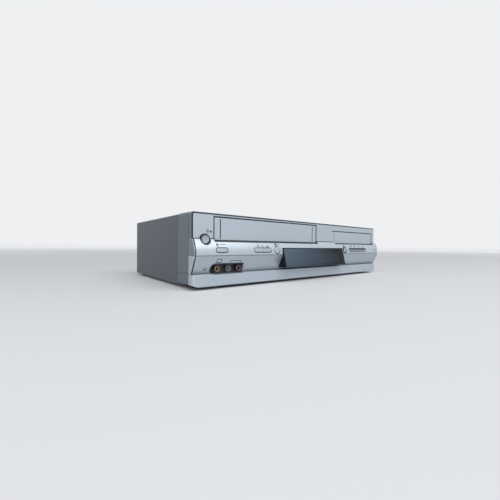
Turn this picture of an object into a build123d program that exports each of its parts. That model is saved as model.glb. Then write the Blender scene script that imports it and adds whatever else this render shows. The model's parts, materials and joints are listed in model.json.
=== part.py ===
from build123d import *
from math import atan2, cos, degrees, hypot, pi, radians, sin, sqrt
import os

# A full-width disc player and cassette recorder in one case. Millimetres. +Z is up, the front faces -Y
# and +X is to the right of a viewer who stands in front. The origin is on the ground, at the middle of
# the whole object's width and depth. "Behind the face" means along +Y from the flat upper front face.

# Case
case_width = 430.0
panel_height = 95.0
foot_height = 4.0
deck_back = 222.0
rear_space = 23.0
body_depth = deck_back + rear_space
sheet = 1.0
wall = 2.5
fit_gap = 0.3
shaft_gap = 0.05
window_reach = 16.0
jack_reach = 9.0

half_width = case_width / 2
bottom_z = foot_height
top_z = bottom_z + panel_height
face_y = window_reach - (window_reach + body_depth + jack_reach) / 2
rear_y = face_y + body_depth

# Fascia: flat upper face, groove, bulging nose with a crease, sloping underside and plinth
fascia_depth = 9.8
bezel_drop = 1.1
bezel_round = 2.0
groove_z = bottom_z + 60.5
groove_size = 1.0
nose_top_out = 1.5
crease_out = 8.5
crease_z = bottom_z + 39.5
nose_bulge = 2.0
slope_foot_in = 3.0
slope_foot_z = bottom_z + 16.5
plinth_out = 2.0
corner_round = 5.0
foot_chamfer_x = 8.0
foot_chamfer_z = 3.0
plan_round = 3.5

# Front frame and cover
frame_depth = 33.0
frame_bottom_gap = 1.0
cover_inset = 1.0
cover_lap = 7.0
cover_lip = 9.0
pan_flange = 12.0

# Cassette deck
cassette_width = 188.0
cassette_height = 25.0
deck_half = cassette_width / 2 + 10.0
deck_side_space = 26.2
deck_x = -half_width + deck_side_space + deck_half
door_width = cassette_width + 11.4
door_height = cassette_height + 4.3
door_top_gap = 6.4
door_thick = 2.2
door_gap = 0.4
door_pin_r = 1.0
holder_depth = 52.0
holder_back = 34.0
holder_travel = 58.0
holder_drop = 20.0
deck_sheet = 1.2
guide_pin_r = 2.0
reel_pitch = 94.0
reel_back = 92.0
reel_r = 22.0
reel_post_r = 1.5
reel_bore_r = reel_post_r + shaft_gap
drum_r = 31.0
drum_back = deck_back - 43.0
drum_tilt = 6.0
drum_shaft_r = 2.5
bracket_front, bracket_rear = 38.0, drum_back - 27.0
bridge_front, bridge_rear = drum_back - 81.0, bracket_rear - 2.0
capstan_x = deck_x + 55.0
capstan_back = drum_back - 17.0
flywheel_r = 22.0
stator_r = 11.0
pinch_pivot_x = capstan_x + 26.0
pinch_pivot_back = drum_back - 27.0
guide_start_back = drum_back - 28.0
guide_run = 32.0
guide_lean = 16.0
gear_centre = (deck_x - 34.0, drum_back - 13.0)
gear_r, gear_teeth = 22.0, 30

# Disc loader
disc_r = 60.0
disc_back = 69.0
tray_front_width = 134.0
tray_front_height = 22.0
tray_front_thick = 2.8
tray_front_bottom = bottom_z + 58.7
tray_width = tray_front_width - 8.0
tray_length = 161.0
tray_height = 8.0
tray_lift = 5.4
tray_travel = 138.0
tray_slot = 40.0
rail_out = 3.6
rail_height = 3.0
gear_module = 1.0
pinion_teeth = 20
pinion_back = 24.0
loader_length = 172.0
loader_wall = 3.0
loader_half = tray_width / 2 + rail_out + 0.4
loader_outer = loader_half + loader_wall
loader_side_space = 10.5
tray_x = half_width - loader_side_space - loader_outer
turntable_r = 14.5
pickup_travel = 34.0
traverse_width = 64.0
traverse_length = 120.0
tray_motor_x, tray_motor_back, tray_pulley_r = tray_x - 22.0, 32.0, 3.4

# Boards
board_thick = 1.6
main_board_z = bottom_z + 7.0
front_board_back = 11.0
board_boss_r = 2.6
board_boss_start = 1.4
switch_reach = 4.2

# Controls: centre x, centre z, width, height
button_z = bottom_z + 46.4
power_x, power_z, power_r = -half_width + 16.6, bottom_z + 60.0, 6.2
eject_x, eject_width, eject_height = -half_width + 37.3, 16.3, 5.1
channel_x, channel_width, channel_height = deck_x - 25.4, 30.8, 5.3
record_x, record_r = deck_x + 1.8, 4.9
open_x, open_r = tray_x - 43.0, 5.6
strip_x, strip_width, strip_height, strip_count = tray_x + 1.5, 60.2, 5.4, 4
button_travel = 1.0
button_proud = 0.8

# Display window
window_left, window_right = deck_x + 12.8, open_x - 9.5
window_x, window_width = (window_left + window_right) / 2, window_right - window_left
window_bottom, window_top = bottom_z + 20.0, bottom_z + 49.7
window_wall = 2.0

# Sockets
jack_r, jack_core_r, jack_bore_r = 4.15, 3.5, 1.6
jack_length = jack_reach + sheet
collar_thick = 1.2
pocket_x, pocket_width = -half_width + 49.2, 51.6
front_jack_x, front_jack_pitch, front_jack_z = pocket_x + 2.2, 16.6, bottom_z + 22.0
pocket_bottom, pocket_top = bottom_z + 15.0, bottom_z + 29.5
pocket_floor_back = 8.0
rear_jack_x, rear_jack_pitch = -half_width + 145.0, 18.0
rear_jack_low_z, rear_jack_rise = bottom_z + 19.0, 14.0
aerial_r, aerial_collar_r, aerial_bore_r = 4.75, 6.2, 2.6
aerial_x = half_width - 175.0
tuner_half, tuner_length = 12.0, 40.0
aerial_low_z, aerial_rise = bottom_z + 20.0, 22.0
inlet_x, inlet_z = half_width - 25.0, bottom_z + 19.0
inlet_size = (22.0, 14.0)


def behind(distance):
    """The y of a plane that far behind the upper front face."""
    return face_y + distance


def block(x, y, z):
    """A block between the low and high value of each axis."""
    middle = [(low + high) / 2 for low, high in (x, y, z)]
    return Pos(*middle) * Box(*(high - low for low, high in (x, y, z)))


def soft_block(x, y, z, radius):
    """A block with its upright edges rounded."""
    solid = block(x, y, z)
    return fillet(solid.edges().filter_by(Axis.Z), radius)


def post(x, y, low, high, radius):
    """An upright cylinder."""
    return Pos(x, y, (low + high) / 2) * Cylinder(radius, high - low)


def rod_x(low, high, y, z, radius):
    """A cylinder along X."""
    return Pos((low + high) / 2, y, z) * Rot(0, 90, 0) * Cylinder(radius, high - low)


def rod_y(x, low, high, z, radius):
    """A cylinder along Y."""
    return Pos(x, (low + high) / 2, z) * Rot(90, 0, 0) * Cylinder(radius, high - low)


def side_prism(points, low_x, high_x):
    """A closed outline of (distance behind the face, z) points carried along X."""
    outline = make_face(Polyline(*[(behind(d), z) for d, z in points], close=True))
    return extrude(Plane.YZ.offset(low_x) * outline, amount=high_x - low_x)


def front_slab(sketch, low_back, high_back):
    """A sketch drawn in (x, z) carried along Y between two distances behind the face."""
    plane = Plane(origin=(0, behind(low_back), 0), x_dir=(1, 0, 0), z_dir=(0, -1, 0))
    return extrude(plane * sketch, amount=low_back - high_back)


def stadium(x, z, width, height):
    """An outline with round ends, in (x, z)."""
    return Pos(x, z) * SlotOverall(width, height)


# The nose's side view is one arc from its top edge to the crease; these give its circle.
nose_top = (-nose_top_out, groove_z)
crease = (-crease_out, crease_z)
nose_chord = hypot(nose_top[0] - crease[0], nose_top[1] - crease[1])
nose_radius = (nose_chord**2 / 4 + nose_bulge**2) / (2 * nose_bulge)
nose_normal = (-(nose_top[1] - crease[1]) / nose_chord, (nose_top[0] - crease[0]) / nose_chord)
nose_centre = (
    (nose_top[0] + crease[0]) / 2 - nose_normal[0] * (nose_radius - nose_bulge),
    (nose_top[1] + crease[1]) / 2 - nose_normal[1] * (nose_radius - nose_bulge),
)
nose_middle = (
    nose_centre[0] + nose_normal[0] * nose_radius,
    nose_centre[1] + nose_normal[1] * nose_radius,
)


def nose_back(z):
    """How far behind the face the nose's surface is at a height (negative is in front)."""
    if z >= crease_z:
        return nose_centre[0] - sqrt(nose_radius**2 - (z - nose_centre[1]) ** 2)
    share = (crease_z - z) / (crease_z - slope_foot_z)
    return -crease_out + share * (crease_out + slope_foot_in)


def fascia_outline(back, groove):
    """The fascia's side outline, closed by an upright line at its open back."""
    front_z = top_z - bezel_drop
    depth = groove_size if groove else 0.0
    foot_z = slope_foot_z - 0.2
    path = [
        Line((back, front_z), (bezel_round, front_z)),
        RadiusArc((bezel_round, front_z), (0, front_z - bezel_round), -bezel_round),
        Line((0, front_z - bezel_round), (0, groove_z + groove_size)),
    ]
    if groove:
        path += [
            Line((0, groove_z + groove_size), (depth, groove_z + groove_size)),
            Line((depth, groove_z + groove_size), (depth, groove_z)),
            Line((depth, groove_z), nose_top),
        ]
    else:
        path.append(Line((0, groove_z + groove_size), nose_top))
    path += [
        ThreePointArc(nose_top, nose_middle, crease),
        Line(crease, (slope_foot_in, slope_foot_z)),
        Line((slope_foot_in, slope_foot_z), (-plinth_out + 0.8, foot_z)),
        Line((-plinth_out + 0.8, foot_z), (-plinth_out, foot_z - 0.8)),
        Line((-plinth_out, foot_z - 0.8), (-plinth_out, bottom_z + 1.0)),
        Line((-plinth_out, bottom_z + 1.0), (-plinth_out + 1.0, bottom_z)),
        Line((-plinth_out + 1.0, bottom_z), (back, bottom_z)),
        Line((back, bottom_z), (back, front_z)),
    ]
    return make_face(path)


def front_outline(inset):
    """The player seen from the front: round top corners and sloping lower corners, in (x, z)."""
    half = half_width - inset
    low, high = bottom_z + inset, top_z - inset
    radius = max(corner_round - inset, 1.0)
    return make_face(
        [
            Line((-half + foot_chamfer_x, low), (half - foot_chamfer_x, low)),
            Line((half - foot_chamfer_x, low), (half, low + foot_chamfer_z)),
            Line((half, low + foot_chamfer_z), (half, high - radius)),
            RadiusArc((half, high - radius), (half - radius, high), -radius),
            Line((half - radius, high), (-half + radius, high)),
            RadiusArc((-half + radius, high), (-half, high - radius), -radius),
            Line((-half, high - radius), (-half, low + foot_chamfer_z)),
            Line((-half, low + foot_chamfer_z), (-half + foot_chamfer_x, low)),
        ]
    )


def carried(outline, low_x, high_x):
    """A side outline in (distance behind the face, z) carried along X."""
    plane = Plane(origin=(low_x, face_y, 0), x_dir=(0, 1, 0), z_dir=(1, 0, 0))
    return extrude(plane * outline, amount=high_x - low_x)


def plan_rounded(front_back, low, high):
    """A layer of the fascia's space with its two front upright edges rounded."""
    layer = block((-half_width, half_width), (behind(front_back), behind(fascia_depth)), (low, high))
    front_edges = layer.edges().filter_by(Axis.Z).sort_by(Axis.Y)[:2]
    return fillet(front_edges, plan_round)


def fascia():
    """The silver front moulding, a shell open at the back with an opening for each front piece."""
    outer = carried(fascia_outline(fascia_depth, True), -half_width, half_width)
    outer &= front_slab(front_outline(0), -2 * window_reach, fascia_depth)
    layers = plan_rounded(0, groove_z, top_z)
    layers += plan_rounded(-crease_out - 0.3, slope_foot_z - 0.2, groove_z)
    layers += plan_rounded(-plinth_out, bottom_z, slope_foot_z - 0.2)
    outer &= layers
    inner_outline = offset(fascia_outline(fascia_depth + 2 * wall, False), -wall, kind=Kind.INTERSECTION)
    inner = carried(inner_outline, -half_width + wall, half_width - wall)
    inner &= front_slab(front_outline(wall), -2 * window_reach, fascia_depth + wall)
    shell = outer - inner
    shell -= door_opening() + tray_opening() + window_opening() + pocket_opening()
    for face, play in button_faces():
        shell -= front_slab(offset(face, play), -2 * window_reach, fascia_depth)
    for x, z, radius in lens_places():
        shell -= front_slab(Pos(x, z) * Circle(radius), -2 * window_reach, fascia_depth)
    for x, z in board_screw_places():
        start = nose_back(z) + board_boss_start
        shell += rod_y(x, behind(start), behind(front_board_back), z, board_boss_r)
    shell += door_ears()
    for side in (-1, 1):
        near = deck_x + side * door_width / 2
        bore = sorted((near, near + side * 5.0))
        shell -= rod_x(*bore, behind(door_pin_back), door_pin_z, door_pin_r + shaft_gap)
    return shell


door_top = top_z - door_top_gap
door_bottom = door_top - door_height
door_pin_back = door_pin_r + 1.5
door_pin_z = door_top - 1.2


def door_opening():
    """The opening that the cassette door fills."""
    half = door_width / 2 + door_gap
    cut = (door_bottom - door_gap, door_top + door_gap)
    return block((deck_x - half, deck_x + half), (behind(-2 * window_reach), behind(fascia_depth)), cut)


def door_ears():
    """Two ears behind the fascia that carry the cassette door's pins."""
    ears = []
    for side in (-1, 1):
        near = deck_x + side * (door_width / 2 + door_gap + 0.1)
        far = near + side * 3.0
        span = (min(near, far), max(near, far))
        ears.append(block(span, (behind(wall - 0.2), behind(6.5)), (door_pin_z - 4.0, door_pin_z + 1.5)))
    return ears[0] + ears[1]


def cassette_door():
    """The sprung flap over the cassette bay, with two upright grooves and a pin at each end."""
    half = door_width / 2
    back = door_gap / 2
    flap_y = (behind(back), behind(back + door_thick))
    flap = block((deck_x - half, deck_x + half), flap_y, (door_bottom, door_top))
    front_edges = flap.edges().group_by(Axis.Y)[0]
    flap = chamfer(front_edges, 0.4)
    for side, inset in ((-1, 8.6), (1, 9.6)):
        x = deck_x + side * (half - inset)
        groove_y = (behind(-1), behind(back + 0.7))
        flap -= block((x - 0.6, x + 0.6), groove_y, (door_bottom + 1.8, door_top - 1.8))
    knuckle = rod_x(deck_x - half, deck_x + half, behind(door_pin_back), door_pin_z, door_pin_r + 0.2)
    pin = rod_x(deck_x - half - 3.0, deck_x + half + 3.0, behind(door_pin_back), door_pin_z, door_pin_r)
    return flap + knuckle + pin


tray_front_top = tray_front_bottom + tray_front_height


def tray_opening():
    """The opening that the disc tray slides through."""
    half = tray_front_width / 2 + door_gap
    cut = (tray_front_bottom - door_gap, tray_front_top + door_gap)
    return block((tray_x - half, tray_x + half), (behind(-2 * window_reach), behind(fascia_depth)), cut)


def window_outline(inset, back):
    """The window block's side outline: its face leans out to its lower edge."""
    low, high = window_bottom + inset, window_top - inset
    lean = (window_reach - crease_out) / (window_top - window_bottom)
    top_out = crease_out - inset - lean * inset
    bottom_out = window_reach - inset + lean * inset
    return make_face(Polyline((back, low), (-bottom_out, low), (-top_out, high), (back, high), close=True))


def window_opening():
    """The opening behind the display window."""
    half = window_width / 2 + shaft_gap
    span = (window_bottom - shaft_gap, window_top + shaft_gap)
    cut_y = (behind(-2 * window_reach), behind(fascia_depth))
    return block((window_x - half, window_x + half), cut_y, span)


def display_window():
    """The smoked display window, an open-backed cap, with the small remote and lamp lenses."""
    half = window_width / 2
    window_back = slope_foot_in + wall
    cap = carried(window_outline(0, window_back), window_x - half, window_x + half)
    front_edges = cap.edges().group_by(Axis.Y)[0]
    front_edges += cap.edges().filter_by(Axis.X).sort_by(Axis.Z)[-2:-1]
    cap = chamfer(front_edges, 0.6)
    inner_half = half - window_wall
    inner = window_outline(window_wall, window_back + 1)
    cap -= carried(inner, window_x - inner_half, window_x + inner_half)
    for x, z, radius in lens_places():
        cap += rod_y(x, behind(lens_back(z) - 0.4), behind(lens_back(z) + wall + 1.0), z, radius)
    return cap


def lens_places():
    """The remote-control lens at the right end and the standby lamp above the power button."""
    return [(half_width - 12.0, button_z, 1.8), (power_x + 8.4, power_z + 10.0, 1.3)]


def lens_back(z):
    """Where the front surface is at a lens."""
    return nose_back(z) if z < groove_z else 0.0


def board_screw_places():
    """Where the front board is screwed to the fascia's bosses."""
    places = (-half_width + 19.0, record_x + 1.0, open_x + 0.5, half_width - 25.0)
    return [(x, crease_z - 6.0) for x in places]


def button_faces():
    """Each button's outline in (x, z) with the play round it."""
    faces = [
        (Pos(power_x, power_z) * Circle(power_r), fit_gap),
        (stadium(eject_x, button_z, eject_width, eject_height), fit_gap),
        (stadium(channel_x, button_z, channel_width, channel_height), fit_gap),
        (Pos(record_x, button_z) * Circle(record_r), fit_gap),
        (Pos(open_x, button_z) * Circle(open_r), fit_gap),
        (Pos(strip_x, button_z) * Rectangle(strip_width, strip_height), fit_gap),
    ]
    return faces


def button(face, flange_face, x, z):
    """A button: cap through the fascia, flange behind it and stem to its switch."""
    back = lens_back(z)
    flange_top = Vector(flange_face.bounding_box().max).Y
    skin_back = nose_back(flange_top) + wall + 0.9
    cap = front_slab(face, back - button_proud, skin_back)
    front_edges = cap.faces().sort_by(Axis.Y)[0].edges()
    cap = chamfer(front_edges, 0.45)
    flange = front_slab(flange_face, skin_back, skin_back + 1.2)
    stem_end = front_board_back - switch_reach - button_travel - 0.2
    return cap + flange + rod_y(x, behind(skin_back + 0.6), behind(stem_end), z, 1.4)


def power_button():
    """The round power button, with a shallow dish in its face."""
    face = Pos(power_x, power_z) * Circle(power_r - 0.1)
    solid = front_slab(face, -nose_top_out - 1.0, wall + 0.6)
    solid = chamfer(solid.faces().sort_by(Axis.Y)[0].edges(), 0.5)
    solid -= Pos(power_x, behind(-nose_top_out - 21.0), power_z) * Sphere(20.6)
    flange = front_slab(Pos(power_x, power_z) * Circle(power_r + 1.2), wall + 0.6, wall + 1.8)
    stem_end = front_board_back - switch_reach - button_travel - 0.2
    return solid + flange + rod_y(power_x, behind(wall + 1.0), behind(stem_end), power_z, 1.4)


def eject_button():
    """The pill-shaped cassette eject button."""
    face = stadium(eject_x, button_z, eject_width, eject_height)
    return button(face, stadium(eject_x, button_z, eject_width + 3, eject_height + 3), eject_x, button_z)


def channel_button(side):
    """One half of the channel rocker, round at its outer end."""
    whole = stadium(channel_x, button_z, channel_width, channel_height)
    wide = stadium(channel_x, button_z, channel_width + 3, channel_height + 3)
    near = 0.25
    half_plane = Pos(channel_x + side * (near + channel_width), button_z) * Rectangle(2 * channel_width, 40)
    x = channel_x + side * channel_width / 4
    return button(whole & half_plane, wide & half_plane, x, button_z)


def record_button():
    """The round record button."""
    face = Pos(record_x, button_z) * Circle(record_r)
    return button(face, Pos(record_x, button_z) * Circle(record_r + 1.5), record_x, button_z)


def open_button():
    """The round disc tray button."""
    face = Pos(open_x, button_z) * Circle(open_r)
    return button(face, Pos(open_x, button_z) * Circle(open_r + 1.5), open_x, button_z)


def strip_centres():
    """The centre of each transport button in the strip."""
    pitch = strip_width / strip_count
    return [strip_x + (number - (strip_count - 1) / 2) * pitch for number in range(strip_count)]


def strip_button(x):
    """One transport button of the strip."""
    width = strip_width / strip_count - 0.5
    face = Pos(x, button_z) * RectangleRounded(width, strip_height, 0.8)
    flange = Pos(x, button_z) * Rectangle(width, strip_height + 3)
    return button(face, flange, x, button_z)


def pocket_sketch(inset):
    """The front socket recess: a large round left end and a small-radius right end, in (x, z)."""
    left, right = pocket_x - pocket_width / 2 + inset, pocket_x + pocket_width / 2 - inset
    low, high = pocket_bottom + inset, pocket_top - inset
    big = (high - low) / 2
    small = 3.0
    return make_face(
        [
            Line((left + big, low), (right - small, low)),
            RadiusArc((right - small, low), (right, low + small), -small),
            Line((right, low + small), (right, high - small)),
            RadiusArc((right, high - small), (right - small, high), -small),
            Line((right - small, high), (left + big, high)),
            ThreePointArc((left + big, high), (left, (low + high) / 2), (left + big, low)),
        ]
    )


def pocket_opening():
    """The recess's opening through the fascia."""
    return front_slab(pocket_sketch(-shaft_gap), -2 * window_reach, fascia_depth)


front_jack_xs = [front_jack_x + step * front_jack_pitch for step in (-1, 0, 1)]


def front_jack_panel():
    """The dark dish that lines the front recess, with a hole for each socket."""
    outer = front_slab(pocket_sketch(0), slope_foot_in - 4.0, front_board_back)
    space = carried(fascia_outline(front_board_back + 1, False), -half_width, half_width)
    outer &= space
    outer -= front_slab(pocket_sketch(1.4), -2 * window_reach, pocket_floor_back)
    for x in front_jack_xs:
        outer -= rod_y(x, behind(0), behind(front_board_back + 1), front_jack_z, jack_core_r + 0.02)
    return outer


def jack_places():
    """Each socket: its colour, x, z, the y of its base and the way it points."""
    colours = ("yellow", "white", "red")
    places = []
    for colour, x in zip(colours, front_jack_xs):
        places.append((colour, x, front_jack_z, behind(pocket_floor_back), -1))
    for column in (0, 1):
        x = rear_jack_x + column * rear_jack_pitch
        for row, colour in enumerate(reversed(colours)):
            places.append((colour, x, rear_jack_low_z + row * rear_jack_rise, rear_y - sheet, 1))
    return places


def rod_out(x, y, z, way, start, end, radius):
    """A cylinder along Y measured out from a plane, the way a socket points."""
    low, high = sorted((y + way * start, y + way * end))
    return rod_y(x, low, high, z, radius)


def jack_insert(x, y, z, way, length):
    """A socket's coloured plastic: a collar on the panel and the core inside the metal sleeve."""
    collar = rod_out(x, y, z, way, 0, collar_thick, jack_r + 1.0)
    core = rod_out(x, y, z, way, -2.0, length - 0.8, jack_core_r)
    return collar + core - rod_out(x, y, z, way, -0.5, length + 1, jack_bore_r)


def jack_sleeve(x, y, z, way, length):
    """A socket's metal sleeve, seated on its coloured collar."""
    sleeve = rod_out(x, y, z, way, collar_thick, length, jack_r)
    return sleeve - rod_out(x, y, z, way, 0, length + 1, jack_core_r)


def jack_length_at(way):
    """A rear socket stands further out than a front one, which stays inside its recess."""
    return jack_length if way > 0 else pocket_floor_back


def coloured_inserts(wanted):
    """The plastic inserts of one colour, front and rear."""
    return Compound(
        [
            jack_insert(x, y, z, way, jack_length_at(way))
            for colour, x, z, y, way in jack_places()
            if colour == wanted
        ]
    )


def jack_sleeves():
    """All the sockets' metal sleeves."""
    return Compound([jack_sleeve(x, y, z, way, jack_length_at(way)) for _, x, z, y, way in jack_places()])


frame_front = fascia_depth + 0.2
frame_back = frame_front + frame_depth
cover_top = top_z - cover_inset
cover_half = half_width - cover_inset
frame_floor = bottom_z + frame_bottom_gap


def front_frame():
    """The dark moulded ring behind the fascia: cheeks, sloping top, floor and a lip inside the cover."""
    front_z = top_z - bezel_drop
    side = [
        (frame_front, frame_floor), (frame_front, front_z), (frame_back, top_z), (frame_back, frame_floor),
    ]
    ring = side_prism(side, -half_width, half_width)
    ring &= front_slab(front_outline(0), frame_front, frame_back)
    lip_half, lip_top = cover_half - sheet, cover_top - sheet
    lip_y = (behind(frame_back - 1), behind(frame_back + cover_lap))
    lip = block((-lip_half, lip_half), lip_y, (bottom_z + pan_flange, lip_top))
    ring += fillet(lip.edges().filter_by(Axis.Y).sort_by(Axis.Z)[-2:], 1.2)
    hollow_half = cover_half - sheet - wall + 0.5
    hollow = (frame_floor + wall, cover_top - sheet - wall + 0.5)
    ring -= block((-hollow_half, hollow_half), (behind(0), behind(frame_back + cover_lap + 1)), hollow)
    whole_x, whole_y = (-half_width, half_width), (behind(frame_front), behind(frame_back))
    shadow = block(whole_x, (whole_y[0], whole_y[0] + 1.0), (bottom_z, top_z))
    shadow -= block((-half_width + 0.8, half_width - 0.8), whole_y, (0, front_z - 0.8))
    seam_z = slope_foot_z + 0.5
    seam = block(whole_x, whole_y, (seam_z - 0.4, seam_z + 0.4))
    seam -= block((-half_width + 0.6, half_width - 0.6), whole_y, (0, top_z))
    return ring - shadow - seam


def top_cover():
    """The folded sheet cover: top, two sides and a narrow lip down over the rear panel."""
    front = behind(frame_back + 0.2)
    outer = block((-cover_half, cover_half), (front, rear_y), (bottom_z, cover_top))
    edges = outer.edges().filter_by(Axis.Y).sort_by(Axis.Z)[-2:]
    outer = fillet(edges, 2.0)
    inner_half, inner_top = cover_half - sheet, cover_top - sheet
    inner = block((-inner_half, inner_half), (front - 1, rear_y - sheet), (0, inner_top))
    inner = fillet(inner.edges().filter_by(Axis.Y).sort_by(Axis.Z)[-2:], 1.0)
    half = cover_half - cover_lip
    window = block((-half, half), (rear_y - 2, rear_y + 1), (0, cover_top - cover_lip))
    return outer - inner - window


post_r = 4.0
board_post_r = 3.0
pan_top = bottom_z + sheet
pan_front = frame_back - 3.0
pan_half = cover_half - sheet - 0.2
rear_panel_y = rear_y - 2 * sheet
holder_floor_top = door_bottom + 0.3
deck_z = holder_floor_top - holder_drop - 14.6
deck_top = deck_z + deck_sheet
loader_floor_z = tray_front_bottom - 6.7
loader_floor_top = loader_floor_z + 2.0
rear_panel_back = body_depth - 2 * sheet
board_left, board_right = -half_width + 7.0, half_width - 5.0
supply_left, supply_front = tray_x - 68.5, rear_panel_back - 49.0
deck_posts = [
    (deck_x + side * (deck_half - 6.0), back)
    for side in (-1, 1)
    for back in (60.0, deck_back - 8.0)
]
loader_posts = [
    (tray_x + side * (loader_outer - 5.0), back)
    for side in (-1, 1)
    for back in (50.0, loader_length + 10.0)
]
board_posts = [
    (x, back)
    for x in (board_left + 8.0, deck_x + 48.8, aerial_x - 4.0, board_right - 4.0)
    for back in (47.0, supply_front + 2.0)
]


def base_chassis():
    """The pressed steel pan with side flanges, vent slots and posts for the deck, loader and board."""
    pan = block((-pan_half, pan_half), (behind(pan_front), rear_panel_y), (bottom_z, pan_top))
    flange_front = behind(frame_back + cover_lap + 0.5)
    for side in (-1, 1):
        span = sorted((side * pan_half, side * (pan_half - sheet)))
        pan += block(span, (flange_front, rear_panel_y), (bottom_z, bottom_z + pan_flange))
    for row in range(3):
        for column in range(8):
            x, y = (column - 3.5) * 40.0, behind(90.0 + row * 40.0)
            pan -= block((x - 10, x + 10), (y - 1.5, y + 1.5), (bottom_z - 1, pan_top + 1))
    for x, back in deck_posts:
        pan += post(x, behind(back), pan_top - 0.1, deck_z, post_r)
    for x, back in loader_posts:
        pan += post(x, behind(back), pan_top - 0.1, loader_floor_z, post_r)
    for x, back in board_posts:
        pan += post(x, behind(back), pan_top - 0.1, main_board_z, board_post_r)
    return pan


def rear_panel():
    """The flat steel rear panel with its socket, aerial and mains openings and two rows of vent slots."""
    top = cover_top - sheet
    panel = block((-pan_half, pan_half), (rear_panel_y, rear_panel_y + sheet), (bottom_z, top))
    panel = chamfer(panel.edges().filter_by(Axis.Y).sort_by(Axis.Z)[-2:], 1.2)
    opening = rear_jack_sketch(2.0)
    panel -= Plane(origin=(0, rear_y + 5, 0), x_dir=(1, 0, 0), z_dir=(0, -1, 0)) * extrude(opening, 20)
    for row in (0, 1):
        z = aerial_low_z + row * aerial_rise
        panel -= rod_y(aerial_x, rear_panel_y - 1, rear_y + 1, z, aerial_collar_r + fit_gap)
    half_x, half_z = inlet_size[0] / 2, inlet_size[1] / 2
    hole = ((inlet_x - half_x, inlet_x + half_x), (inlet_z - half_z, inlet_z + half_z))
    panel -= block(hole[0], (rear_panel_y - 1, rear_y + 1), hole[1])
    for row in range(2):
        for column in range(10):
            x = half_width - 129.0 + column * 11.0
            z = bottom_z + 50.0 + row * 17.0
            panel -= block((x - 1.5, x + 1.5), (rear_panel_y - 1, rear_y + 1), (z - 6, z + 6))
    return panel


def rear_jack_sketch(grow):
    """The rear socket block's outline in (x, z): three columns of three sockets."""
    left = rear_jack_x - 8.0 - grow
    right = rear_jack_x + 2 * rear_jack_pitch + 8.0 + grow
    low, high = rear_jack_low_z - 8.0 - grow, rear_jack_low_z + 2 * rear_jack_rise + 8.0 + grow
    return Pos((left + right) / 2, (low + high) / 2) * Rectangle(right - left, high - low)


def rear_jack_block():
    """The moulded socket block on the main board, with the sockets' seats and a round data socket."""
    depth = 16.0
    face = rear_jack_sketch(1.8)
    plane = Plane(origin=(0, rear_y - sheet, 0), x_dir=(1, 0, 0), z_dir=(0, -1, 0))
    block_solid = plane * extrude(face, depth)
    foot_x = (rear_jack_x - 8.0, rear_jack_x + 2 * rear_jack_pitch + 8.0)
    foot_z = (main_board_z + board_thick, rear_jack_low_z)
    block_solid += block(foot_x, (rear_y - sheet - depth, rear_y - sheet - 2), foot_z)
    for _, x, z, y, way in jack_places():
        if way > 0:
            block_solid -= rod_y(x, y - 2.02, y + 1, z, jack_core_r + 0.02)
    last_x = rear_jack_x + 2 * rear_jack_pitch
    round_z = rear_jack_low_z + 2 * rear_jack_rise
    block_solid += rod_y(last_x, rear_y - sheet, rear_y - sheet + 4.0, round_z, 5.6)
    block_solid -= rod_y(last_x, rear_y - sheet - 4, rear_y + 9, round_z, 4.4)
    block_solid += rod_y(last_x, rear_y - sheet - 4, rear_y - sheet + 2, round_z, 1.2)
    low_z = rear_jack_low_z + rear_jack_rise / 2
    block_solid -= block((last_x - 4, last_x + 4), (rear_y - sheet - 6, rear_y + 1), (low_z - 5, low_z + 5))
    return block_solid


def tuner_module():
    """The screened tuner can on the main board, with two aerial sockets."""
    low = main_board_z + board_thick
    can_y = (rear_panel_y - tuner_length, rear_panel_y)
    can_x = (aerial_x - tuner_half, aerial_x + tuner_half)
    can = block(can_x, can_y, (low, aerial_low_z + aerial_rise + 10))
    can = chamfer(can.edges().filter_by(Axis.Y), 0.8)
    for row in (0, 1):
        z = aerial_low_z + row * aerial_rise
        can += rod_y(aerial_x, rear_panel_y - 1, rear_y + 1, z, aerial_collar_r)
        can += rod_y(aerial_x, rear_y, rear_y + jack_reach, z, aerial_r)
        can -= rod_y(aerial_x, rear_y + 2, rear_y + jack_reach + 1, z, aerial_bore_r)
    return can


def ac_inlet():
    """The two-pin mains inlet: a recess of figure-eight shape with its pins."""
    half_x, half_z = inlet_size[0] / 2, inlet_size[1] / 2
    back_y = rear_y + 0.5
    body_x, front_y = (inlet_x - half_x, inlet_x + half_x), back_y - 22
    body = block(body_x, (front_y, back_y), (inlet_z - half_z, inlet_z + half_z))
    body += block(body_x, (front_y, rear_panel_y - 1), (main_board_z + board_thick, inlet_z))
    recess = SlotOverall(18.4, 9.4)
    plane = Plane(origin=(inlet_x, back_y + 1, inlet_z), x_dir=(1, 0, 0), z_dir=(0, -1, 0))
    body -= plane * extrude(recess, 14.0)
    for side in (-1, 1):
        body += rod_y(inlet_x + side * 4.3, back_y - 14, back_y - 3, inlet_z, 1.18)
    return body


def main_board():
    """The full-width main board on the pan's posts, cut away for the power supply and the tall posts."""
    top = main_board_z + board_thick
    front_y = (behind(20), behind(supply_front - 2))
    board = block((board_left, board_right), front_y, (main_board_z, top))
    rear_y_span = (behind(supply_front - 4), rear_panel_y - 1)
    board += block((board_left, supply_left - 4), rear_y_span, (main_board_z, top))
    for x, back in deck_posts + loader_posts:
        board -= post(x, behind(back), main_board_z - 1, top + 1, post_r + 1.0)
    return board


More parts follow.
